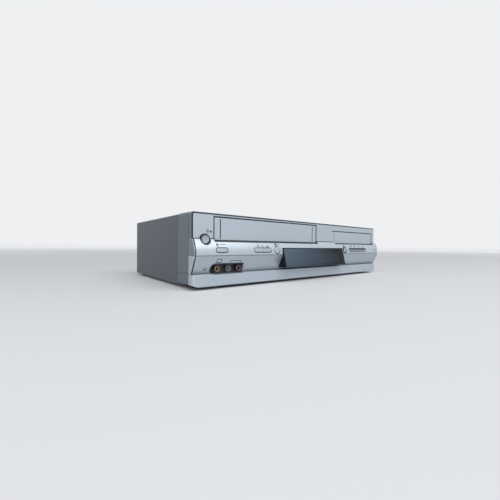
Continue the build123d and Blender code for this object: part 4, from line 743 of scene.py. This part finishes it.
class StageLook(bpy.types.PropertyGroup):
    """Floor, lamps and camera."""

    floor: tint("Floor", "Colour of the floor", (0.66, 0.67, 0.68))
    backdrop: tint("Backdrop", "Colour of what lies behind the floor", (0.86, 0.87, 0.885))
    far_glow: amount("Far glow", "How much the far floor is lit up", 0.40)
    bounce: amount("Bounce", "Share of the floor's light that lights the player", 0.9, "FACTOR")
    floor_size: span("Floor size", "Radius of the floor", 30.0)
    world: tint("World", "Colour of the soft light from all round", (0.95, 0.97, 1.0))
    world_strength: amount("World strength", "Strength of the soft light from all round", 0.36)
    sun_strength: amount("Sun", "Strength of the wide sun", 1.0)
    sun_width: amount("Sun width", "Angle that the sun takes up", radians(50), "ANGLE")
    sun_way: spot("Sun way", "Direction in which the sun shines", (0.2, 0.45, -1.0))
    target: spot("Target", "Point that the lamps face", (0, -0.1, 0.04))
    key_power: amount("Key lamp", "Power of the main lamp in watts", 8.5, "POWER")
    key_size: span("Key size", "Width of the main lamp", 1.2)
    key_place: spot("Key place", "Where the main lamp hangs", (0.25, -1.1, 1.2))
    fill_power: amount("Fill lamp", "Power of the side lamp in watts", 5.0, "POWER")
    fill_size: span("Fill size", "Width of the side lamp", 0.6)
    fill_place: spot("Fill place", "Where the side lamp stands", (-0.95, -0.85, 0.55))
    camera_place: spot("Camera", "Where the camera stands", (-0.356, -0.430, 0.056))
    camera_yaw: amount("Yaw", "Camera's heading from +Y towards +X", radians(40.46), "ANGLE")
    camera_pitch: amount("Pitch", "Camera's tilt upwards", radians(-0.79), "ANGLE")
    camera_roll: amount("Roll", "Camera's roll", radians(0.55), "ANGLE")
    lens: amount("Lens", "Focal length in millimetres on a 36 mm sensor", 19.52, "DISTANCE_CAMERA")
    shift: amount("Shift", "Sideways shift of the camera's frame", -0.04)


# Operators


class PLAYER_OT_case(bpy.types.Operator):
    """Finish the cover, the moulded frame, the chassis, the rear panel and the screws"""

    bl_idname = "player.case"
    bl_label = "Case finishes"

    def execute(self, context):
        look, front = context.scene.player_case, context.scene.player_fascia
        dress(textured_cover(look), "top_cover", "rear_panel")
        dress(grained_plastic("frame_plastic", front.frame), "front_frame")
        dress(plated_steel("chassis_steel"), "base_chassis")
        dress(plated_steel("screw_steel", (0.42, 0.42, 0.43)), "case_screws")
        return {"FINISHED"}


class PLAYER_OT_feet(bpy.types.Operator):
    """Turn four rubber feet with a round shoulder and three rings in the tread"""

    bl_idname = "player.feet"
    bl_label = "Rubber feet"

    def execute(self, context):
        low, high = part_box("rubber_feet")
        places = [[near + FOOT_RADIUS, far - FOOT_RADIUS] for near, far in ((low.x, high.x), (low.y, high.y))]
        profile = self.profile(high.z - 0.02 * MM)
        shape = joined([turned(profile, (x, y, 0), "Z") for x in places[0] for y in places[1]])
        thing = piece("ringed_feet", shape, "player", black_rubber())
        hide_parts("rubber_feet")
        return {"FINISHED"}

    def profile(self, top):
        """A tread that rises as half sines of the radius, a quarter round at its edge and a straight wall."""
        turn, shoulder = np.linspace(0, pi / 2, 8), 1.2 * MM
        place = np.linspace(0, 0.86 * FOOT_RADIUS, 50)
        tread = np.where(place > 3 * MM, 0.35 * MM * np.clip(np.sin(place / (0.75 * MM)), 0, 1), 0)
        outer = FOOT_RADIUS - shoulder + shoulder * np.sin(turn)
        edge = np.stack([outer, shoulder - shoulder * np.cos(turn)], axis=-1)
        return np.concatenate([np.stack([place, tread], axis=-1), edge, [(FOOT_RADIUS, top), (0, top)]])


class PLAYER_OT_fascia(bpy.types.Operator):
    """Paint the fascia, the cassette door and the tray's front"""

    bl_idname = "player.fascia"
    bl_label = "Silver front"

    def execute(self, context):
        look = context.scene.player_fascia
        front = silver_paint("fascia_paint", look)
        add_fascia_lines(front, look)
        add_outer_edge(front, look)
        dress(front, "fascia")
        door = silver_paint("door_paint", look)
        # Painted shade in the door's two upright grooves
        half, end = 0.6 * MM, 1.8 * MM
        groove_shade_places = (door_low.x + DOOR_PIN + 8.6 * MM, door_high.x - DOOR_PIN - 9.6 * MM)
        for x in groove_shade_places:
            door.shift(door.inside(x - half, x + half, door_low.z + end, door_high.z - end), look.line)
        dress(door, "cassette_door")
        dress(silver_paint("tray_paint", look), "tray_front")
        dress(smoked_window(look), "display_window")
        return {"FINISHED"}


class PLAYER_OT_buttons(bpy.types.Operator):
    """Finish the buttons and line the power button's well with a dark ring that stands for the well's shade"""

    bl_idname = "player.buttons"
    bl_label = "Buttons"

    def execute(self, context):
        look = context.scene.player_fascia
        silver = silver_paint("button_paint", look)
        dress(silver, "eject_button", "channel_down_button", "channel_up_button", "record_button")
        dress(self.dish("power_button", 4.9 * MM, look), "power_button")
        dress(self.dish("open_button", 4.5 * MM, look), "open_button")
        strip = silver_paint("strip_paint", look)
        dark_share = strip.ramp(strip.z, BUTTON_Z - 0.2 * MM, BUTTON_Z + 0.4 * MM, 0.35, 0.9)
        strip.shift(dark_share, look.line)
        dress(strip, *[f"transport_button_{number}" for number in range(1, 5)])
        # The ring's dark plastic is painted shade of the well's wall
        ring = moulded("ring_plastic", shade(look.frame, 0.5), 0.22)
        piece("power_ring", self.ring(look.ring_width), "player", ring)
        return {"FINISHED"}

    def dish(self, name, radius, look):
        """A bright turned dish inside a dark rim of painted shade."""
        x, z = middle(name)
        metal = 0.85
        finish = Finish(f"{name}_metal", shade(look.silver, 0.9), 0.3, metal)
        # The dark rim is painted shade of the button's side in its well
        rim = finish.past(finish.outside(x, x, z, z), radius)
        finish.shift(rim, look.line)
        finish.vary("Metallic", finish.ramp(rim, 0.0, 1.0, metal, 0.0))
        finish.bump(finish.waves(900, 0.2, "Y", finish.place(centre=(x, 0, z))), 0.01 * MM, 0.3)
        return finish

    def ring(self, width):
        """A sleeve in the well, dark as painted shade of the well: its rim follows the front's surface, and its
        wall runs straight back.
        """
        centre_x, centre_z = middle("power_button")
        inner, outer, bevel = WELL_RADIUS, WELL_RADIUS + width, 0.15 * MM
        turn, rows = full_turn(96), []
        rim = ((inner, None), (inner, 0.1), (inner + bevel, 0.32), (outer - bevel, 0.32), (outer, 0.02))
        for radius, lift in rim:
            x, z = centre_x + radius * np.cos(turn), centre_z + radius * np.sin(turn)
            front = np.minimum(nose_y(z), face_y - 0.2 * MM)
            y = np.full_like(turn, face_y + 1.5 * MM) if lift is None else front - lift * MM
            rows.append(np.stack([x, y, z], axis=-1))
        return surface(np.stack(rows))


class PLAYER_OT_marks(bpy.types.Operator):
    """Print plain control symbols on the front above the buttons and sockets"""

    bl_idname = "player.marks"
    bl_label = "Front symbols"

    def execute(self, context):
        ink = Ink(lambda z: nose_y(z) - INK_LIFT, context.scene.player_fascia.mark_size)
        low_row, middle_row, high_row = BUTTON_Z + 5.6 * MM, BUTTON_Z + 7.2 * MM, BUTTON_Z + 8.2 * MM
        x = {name: middle(name)[0] for name in nodes if "button" in name}
        ink.draw("eject", x["eject_button"] - 6 * MM, middle_row)
        ink.line(x["eject_button"] + 2 * MM, middle_row, 9 * MM)
        ink.wedge(x["channel_down_button"], low_row, -1)
        ink.wedge(x["channel_up_button"], low_row, 1)
        rocker_x = (x["channel_down_button"] + x["channel_up_button"]) / 2
        ink.line(rocker_x, low_row, 5 * MM)
        ink.disc(x["record_button"] - 1.6 * MM, high_row, 0.45)
        ink.line(x["record_button"] + 3.8 * MM, high_row, 5 * MM)
        ink.draw("eject", x["open_button"] - 1.6 * MM, high_row)
        ink.line(x["open_button"] + 4.2 * MM, high_row, 5 * MM)
        for number, symbol in enumerate(("back", "stop", "play", "pause"), 1):
            ink.draw(symbol, x[f"transport_button_{number}"], middle_row)
        ink.draw("power", x["power_button"] + 4.0 * MM, BUTTON_Z + 24.0 * MM)
        self.socket_signs(ink)
        dark = moulded("dark_ink", (0.008, 0.011, 0.016), 0.6, Specular_IOR_Level=0.15)
        ink.make("front_marks", dark, "player")
        return {"FINISHED"}

    def socket_signs(self, ink):
        """A screen over the picture socket, a bracket over the two sound sockets and an arrow beside them."""
        colors = ("yellow", "white", "red")
        picture, left, right = [mounts[f"front_{color}_socket"]["pos_m"][0] for color in colors]
        low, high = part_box("front_jack_panel")
        z = high.z + 3.0 * MM
        ink.box(picture, z, 1.6, 1.0)
        ink.line((left + right) / 2, z, right - left)
        for x in (left, right):
            ink.quad(x, z - 0.25 * ink.size, ink.thin, 0.5 * ink.size)
        ink.draw("into", low.x - 6 * MM, (low.z + high.z) / 2)


class PLAYER_OT_rear_marks(bpy.types.Operator):
    """Print plain symbols beside the rear sockets and fix a bare plate to the rear panel"""

    bl_idname = "player.rear_marks"
    bl_label = "Rear symbols and plate"

    def execute(self, context):
        look = context.scene.player_case
        low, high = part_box("rear_panel")
        self.socket_signs(look, high.y)
        width, x, z = look.plate_width, low.x + 62 * MM, high.z - 24 * MM
        foil = plated_steel("plate_foil", (0.62, 0.63, 0.64))
        plate = self.plate(x, z, width, look.plate_height, high.y)
        piece("bare_plate", plate, "player", foil, smooth=False)
        stamp = Ink(lambda z: np.full_like(z, high.y + PLATE_THICK + INK_LIFT), look.rear_mark_size)
        for share in (2.0, 1.1):
            stamp.box(x - width / 2 + 8 * MM, z, share, share)
        for row in (-1, 0, 1):
            stamp.quad(x + 6 * MM, z + row * 5 * MM, width - 24 * MM, 0.3 * MM)
        stamp.make("plate_marks", moulded("stamp_ink", (0.02, 0.022, 0.025), 0.5), "player")
        return {"FINISHED"}

    def socket_signs(self, look, face):
        """Out and in over the sockets, aerial and screen beside the aerial sockets, a wave over the inlet."""
        ink = Ink(lambda z: np.full_like(z, face + INK_LIFT), look.rear_mark_size)
        place = {name: mount["pos_m"] for name, mount in mounts.items()}
        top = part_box("rear_jack_block")[1].z + 5 * MM
        ink.draw("eject", place["rear_red_socket_out"][0], top)
        ink.draw("down", place["rear_red_socket_in"][0], top)
        high, low = place["aerial_socket_high"], place["aerial_socket_low"]
        ink.draw("aerial", high[0] + 13 * MM, high[2])
        ink.box(low[0] + 13 * MM, low[2], 1.5, 1.0)
        ink.draw("wave", middle("ac_inlet")[0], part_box("ac_inlet")[1].z + 4 * MM)
        ink.make("rear_marks", moulded("pale_ink", (0.50, 0.53, 0.56), 0.45), "player")

    def plate(self, x, z, width, height, face):
        """A thin plate whose outline is a superellipse: flat sides with round corners."""
        turn, rows = full_turn(96), []
        across, upright = [np.sign(wave) * np.abs(wave) ** 0.12 / 2 for wave in (np.cos(turn), np.sin(turn))]
        bottom, bevel, top = 0.01 * MM, 0.15 * MM, PLATE_THICK
        for share, lift in ((0.0, bottom), (1.0, bottom), (1.0, bevel), (0.995, top), (0.0, top)):
            level = np.full_like(turn, face + lift)
            rows.append(np.stack([x + share * across * width, level, z + share * upright * height], axis=-1))
        return surface(np.stack(rows))


class PLAYER_OT_lamps(bpy.types.Operator):
    """Dome the standby lamp and the remote-control lens"""

    bl_idname = "player.lamps"
    bl_label = "Lamp and lens"

    def execute(self, context):
        clear = {"Transmission_Weight": 0.25}
        red = speckled_glass("lamp_red", (0.12, 0.008, 0.012), 0.12, (0.25, 0.03, 0.03), **clear)
        dark = speckled_glass("lens_dark", (0.02, 0.012, 0.018), 0.08, (0.06, 0.02, 0.03))
        x, z = middle("power_button")
        self.dome("standby_lamp", x + 8.4 * MM, z + 10 * MM, 1.25 * MM, face_y, red)
        self.dome("remote_lens", half_width - 12 * MM, BUTTON_Z, 1.75 * MM, float(nose_y(BUTTON_Z)), dark)
        return {"FINISHED"}

    def dome(self, name, x, z, radius, front, finish):
        """A shallow dome: y falls as a cosine of the place across it, and a short skirt runs back."""
        place, y = np.linspace(0, 1, 12), front - 0.38 * MM
        crown = np.stack([radius * place, y - 0.35 * MM * np.cos(place * pi / 2)], axis=-1)
        profile = np.concatenate([crown, [(radius, y + 0.3 * MM), (0, y + 0.3 * MM)]])
        piece(name, turned(profile, (x, 0, z), "Y", 32), "player", finish)


class PLAYER_OT_sockets(bpy.types.Operator):
    """Turn the phono sleeves and thread the aerial sockets, and finish the inserts and the mains inlet"""

    bl_idname = "player.sockets"
    bl_label = "Sockets"

    def execute(self, context):
        look = context.scene.player_case
        nickel = plated_steel("nickel_plate", (0.66, 0.64, 0.58), "Y")
        # Sleeves darkened towards the front: painted shade of the socket pocket
        nickel.shift(nickel.ramp(nickel.y, -50 * MM, 0.0, 0.85, 0.0), (0.10, 0.12, 0.14))
        sleeves, threads = [], []
        for name, mount in mounts.items():
            if mount["kind"] != "pin":
                continue
            centre, way = Vector(mount["pos_m"]), mount["axis"][1]
            length, radius = mount["dims"]["length_mm"] * MM, mount["dims"]["r_mm"] * MM
            if name.startswith("aerial"):
                threads.append(self.thread(centre, way, length, radius, look.thread_pitch))
            else:
                sleeves.append(self.sleeve(centre, way, length, radius))
        thing = piece("phono_sleeves", joined(sleeves), "player", nickel)
        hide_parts("jack_sleeves")
        piece("aerial_threads", joined(threads), "player", nickel)
        dress(plated_steel("can_plate", (0.64, 0.63, 0.60), "Z"), "tuner_module")
        for name in ("yellow", "white", "red"):
            insert = moulded(f"{name}_insert", getattr(look, name), 0.26)
            # Inserts darkened at the front: painted shade of the socket pocket
            painted_pocket_shade = insert.ramp(insert.y, face_y / 2, 0, 1.0, 0.0)
            insert.shift(insert.times(painted_pocket_shade, look.front_shade), (0.02, 0.024, 0.03))
            dress(insert, f"{name}_jack_inserts")
        socket_black = grained_plastic("socket_black", (0.020, 0.021, 0.024), 0.3 * MM, 0.45)
        dress(socket_black, "rear_jack_block", "ac_inlet")
        dress(grained_plastic("pocket_dark", (0.075, 0.090, 0.110), 0.4 * MM, 0.42), "front_jack_panel")
        return {"FINISHED"}

    def sleeve(self, centre, way, length, radius):
        """A turned sleeve: straight wall, half-round lip and a bore down to the insert's face."""
        half_wall, end = 0.325 * MM, length / 2
        turn = np.linspace(0, pi, 10)
        across, along = half_wall * (1 - np.cos(turn)), half_wall * (1 - np.sin(turn))
        lip = np.stack([radius - across, end - along], axis=-1)
        profile = np.concatenate([[(radius, -end)], lip, [(radius - 2 * half_wall, -end), (radius, -end)]])
        profile[:, 1] *= way
        return turned(profile, centre)

    def thread(self, centre, way, length, radius, pitch):
        """A threaded sleeve: its radius rises and falls as a sine of the place along the axis."""
        place = np.linspace(-length / 2 + 0.6 * MM, length / 2 - 0.2 * MM, 90)
        height = 0.16 * MM * (0.5 + 0.5 * np.sin(2 * pi * place / pitch))
        skin = np.stack([radius + 0.02 * MM + height, place * way], axis=-1)
        inner = radius - 0.3 * MM
        profile = np.concatenate([skin, [(inner, place[-1] * way), (inner, place[0] * way)], skin[:1]])
        return turned(profile, centre, "Y", 40)


class PLAYER_OT_boards(bpy.types.Operator):
    """Finish the boards, the power supply, the display and what stands on them"""

    bl_idname = "player.boards"
    bl_label = "Boards"

    def execute(self, context):
        look = context.scene.player_case
        for name in ("main_board", "front_board"):
            dress(board_green(f"{name}_mask", look), name)
        dress(component_mix(), "board_components")
        dress(supply_mix(look), "power_supply")
        display = Finish("display_glass", (0.02, 0.05, 0.05), 0.12, Coat_Weight=0.8)
        display.stain(display.waves(900, 0), 0.4, 0.6, 0.4, (0.04, 0.09, 0.09))
        dress(display, "display_module")
        return {"FINISHED"}


class PLAYER_OT_cassette_deck(bpy.types.Operator):
    """Finish the cassette deck's plates, drum, reels, guides and arm"""

    bl_idname = "player.cassette_deck"
    bl_label = "Cassette deck"

    def execute(self, context):
        dress(plated_steel("deck_steel", roll="Y"), "deck_plate", "top_bridge")
        dress(plated_steel("bracket_steel", roll="Z"), "left_bracket", "right_bracket")
        dress(plated_steel("cage_steel", (0.64, 0.65, 0.66), "Y"), "cassette_slider", "cassette_holder")
        drum = turned_metal("drum_metal", (0.74, 0.75, 0.76), "head_drum_spin", radians(-6))
        dress(drum, "head_drum")
        dress(cast_metal("drum_cast"), "drum_base")
        dress(cast_metal("guide_cast", (0.6, 0.6, 0.61)), "supply_guide", "takeup_guide", "tape_heads")
        dress(cast_metal("motor_cast", (0.5, 0.5, 0.51)), "capstan_motor")
        dress(plated_steel("motor_can", (0.62, 0.62, 0.6), "Y"), "drive_motors")
        dress(turned_metal("capstan_metal", (0.7, 0.7, 0.71), "capstan_spin"), "capstan")
        dress(moulded("roller_rubber", (0.03, 0.03, 0.03), 0.6), "pinch_roller")
        dress(plated_steel("arm_steel", (0.7, 0.66, 0.5)), "pinch_arm")
        dress(moulded("reel_grey", (0.22, 0.23, 0.25), 0.38), "supply_reel", "takeup_reel")
        dress(moulded("gear_white", (0.74, 0.72, 0.66), 0.4), "loading_gear", "tray_pinion")
        return {"FINISHED"}


class PLAYER_OT_disc_loader(bpy.types.Operator):
    """Finish the tray, the loader's frame, the sled and the pickup"""

    bl_idname = "player.disc_loader"
    bl_label = "Disc loader"

    def execute(self, context):
        dress(grained_plastic("loader_black", (0.022, 0.023, 0.026), 0.4 * MM), "loader_frame", "traverse")
        dress(plated_steel("bridge_steel"), "clamp_bridge")
        dress(grained_plastic("tray_grey", (0.10, 0.11, 0.125), 0.3 * MM, 0.48), "disc_tray")
        dress(moulded("clamper_white", (0.7, 0.69, 0.65), 0.4), "disc_clamper")
        dress(moulded("turntable_black", (0.03, 0.03, 0.033), 0.35), "spindle_turntable")
        pickup = cast_metal("pickup_cast", (0.42, 0.43, 0.45))
        lens_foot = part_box("pickup")[1].z - 1.2 * MM
        pickup.shift(pickup.ramp(pickup.z, lens_foot, lens_foot + 0.3 * MM), (0.05, 0.10, 0.28))
        dress(pickup, "pickup")
        return {"FINISHED"}


def seen_share(tree):
    """1 for a ray from the camera, straight or by gloss or glass, and 0 for one that lights a surface."""
    paths = tree.nodes.new("ShaderNodeLightPath")
    share = paths.outputs["Is Camera Ray"]
    for kind in ("Is Glossy Ray", "Is Transmission Ray"):
        either = tree.nodes.new("ShaderNodeMath")
        either.operation = "MAXIMUM"
        tree.links.new(share, either.inputs[0])
        tree.links.new(paths.outputs[kind], either.inputs[1])
        share = either.outputs[0]
    return share


class PLAYER_OT_stage(bpy.types.Operator):
    """Lay the floor, hang the lamps and set the camera"""

    bl_idname = "player.stage"
    bl_label = "Stage"

    def execute(self, context):
        look = context.scene.player_stage
        self.floor(look)
        self.world(context.scene, look)
        sun = self.lamp("sun", "SUN", look.sun_strength, Vector(look.sun_way))
        sun.angle = look.sun_width
        for name, place, size, power in (
            ("key_lamp", look.key_place, look.key_size, look.key_power),
            ("fill_lamp", look.fill_place, look.fill_size, look.fill_power),
        ):
            disc = self.lamp(name, "AREA", power, Vector(look.target) - Vector(place), place)
            disc.shape = "DISK"
            disc.size = size
        self.camera(context.scene, look)
        context.scene.view_settings.view_transform = "Standard"
        return {"FINISHED"}

    def floor(self, look):
        """A round floor: rings of points at growing radii."""
        reach = np.array([0.001, 0.5, 1.0, 2.0, 4.0, 10.0, look.floor_size])
        turn = full_turn(64)
        x, y = reach[:, None] * np.cos(turn), reach[:, None] * np.sin(turn)
        shape = surface(np.stack([x, y, np.zeros_like(x)], axis=-1))
        finish = Finish("floor_paper", look.floor, 0.8, Specular_IOR_Level=0.2)
        finish.stain(finish.noise(3, 3), 0.3, 0.7, 0.06, shade(look.floor, 0.96))
        seen = seen_share(finish.tree)
        finish.shift(finish.ramp(seen, 0, 1, 1.0, 0.0), shade(look.floor, look.bounce))
        away = finish.distance(finish.x, finish.y)
        finish.shader.inputs["Emission Color"].default_value = (*look.backdrop, 1.0)
        glow = finish.ramp(away, 0.5, 5.0, 0.0, look.far_glow)
        finish.vary("Emission Strength", finish.times(glow, seen))
        linked("floor", mesh_of("floor", shape, finish))

    def world(self, scene, look):
        """A pale surround for what the camera and the glossy surfaces see, and a softer light from it."""
        scene.world = bpy.data.worlds.new("studio")
        scene.world.use_nodes = True
        tree = scene.world.node_tree
        soft = tree.nodes["Background"]
        soft.inputs["Color"].default_value = (*look.world, 1.0)
        soft.inputs["Strength"].default_value = look.world_strength
        seen = tree.nodes.new("ShaderNodeBackground")
        seen.inputs["Color"].default_value = (*look.backdrop, 1.0)
        mix = tree.nodes.new("ShaderNodeMixShader")
        for socket, source in zip(mix.inputs, (seen_share(tree), soft.outputs[0], seen.outputs[0])):
            tree.links.new(source, socket)
        tree.links.new(mix.outputs[0], tree.nodes["World Output"].inputs["Surface"])

    def lamp(self, name, kind, strength, direction, place=(0, 0, 0)):
        """A lamp that shines in a direction."""
        data = bpy.data.lights.new(name, kind)
        data.energy = strength
        lamp = linked(name, data)
        lamp.location = place
        lamp.rotation_euler = direction.to_track_quat("-Z", "Y").to_euler()
        return data

    def camera(self, scene, look):
        """A camera rolled about its view, tilted up from looking straight down, and turned to its heading."""
        turns = ((-look.camera_yaw, "Z"), (pi / 2 + look.camera_pitch, "X"), (look.camera_roll, "Z"))
        yaw, pitch, roll = [Matrix.Rotation(angle, 4, axis) for angle, axis in turns]
        data = bpy.data.cameras.new("camera")
        data.sensor_width = 36.0
        data.lens = look.lens
        data.shift_x = look.shift
        data.clip_start = 0.01
        camera = linked("camera", data)
        camera.matrix_world = Matrix.Translation(look.camera_place) @ yaw @ pitch @ roll
        scene.camera = camera


operators = (
    PLAYER_OT_case,
    PLAYER_OT_feet,
    PLAYER_OT_fascia,
    PLAYER_OT_buttons,
    PLAYER_OT_marks,
    PLAYER_OT_rear_marks,
    PLAYER_OT_lamps,
    PLAYER_OT_sockets,
    PLAYER_OT_boards,
    PLAYER_OT_cassette_deck,
    PLAYER_OT_disc_loader,
    PLAYER_OT_stage,
)


class PLAYER_PT_panel(bpy.types.Panel):
    """The player's pieces and finishes"""

    bl_idname = "PLAYER_PT_panel"
    bl_label = "Player"
    bl_space_type = "VIEW_3D"
    bl_region_type = "UI"
    bl_category = "Player"

    def draw(self, context):
        for operator in operators:
            self.layout.operator(operator.bl_idname)


groups = {"player_fascia": FasciaLook, "player_case": CaseLook, "player_stage": StageLook}
classes = (*groups.values(), *operators, PLAYER_PT_panel)


def register():
    for kind in classes:
        bpy.utils.register_class(kind)
    for name, group in groups.items():
        setattr(bpy.types.Scene, name, PointerProperty(type=group))


def unregister():
    for name in groups:
        delattr(bpy.types.Scene, name)
    for kind in reversed(classes):
        bpy.utils.unregister_class(kind)


def main():
    """Makes every piece and finish."""
    register()
    for operator in operators:
        family, name = operator.bl_idname.split(".")
        getattr(getattr(bpy.ops, family), name)()


if __name__ == "__main__":
    main()
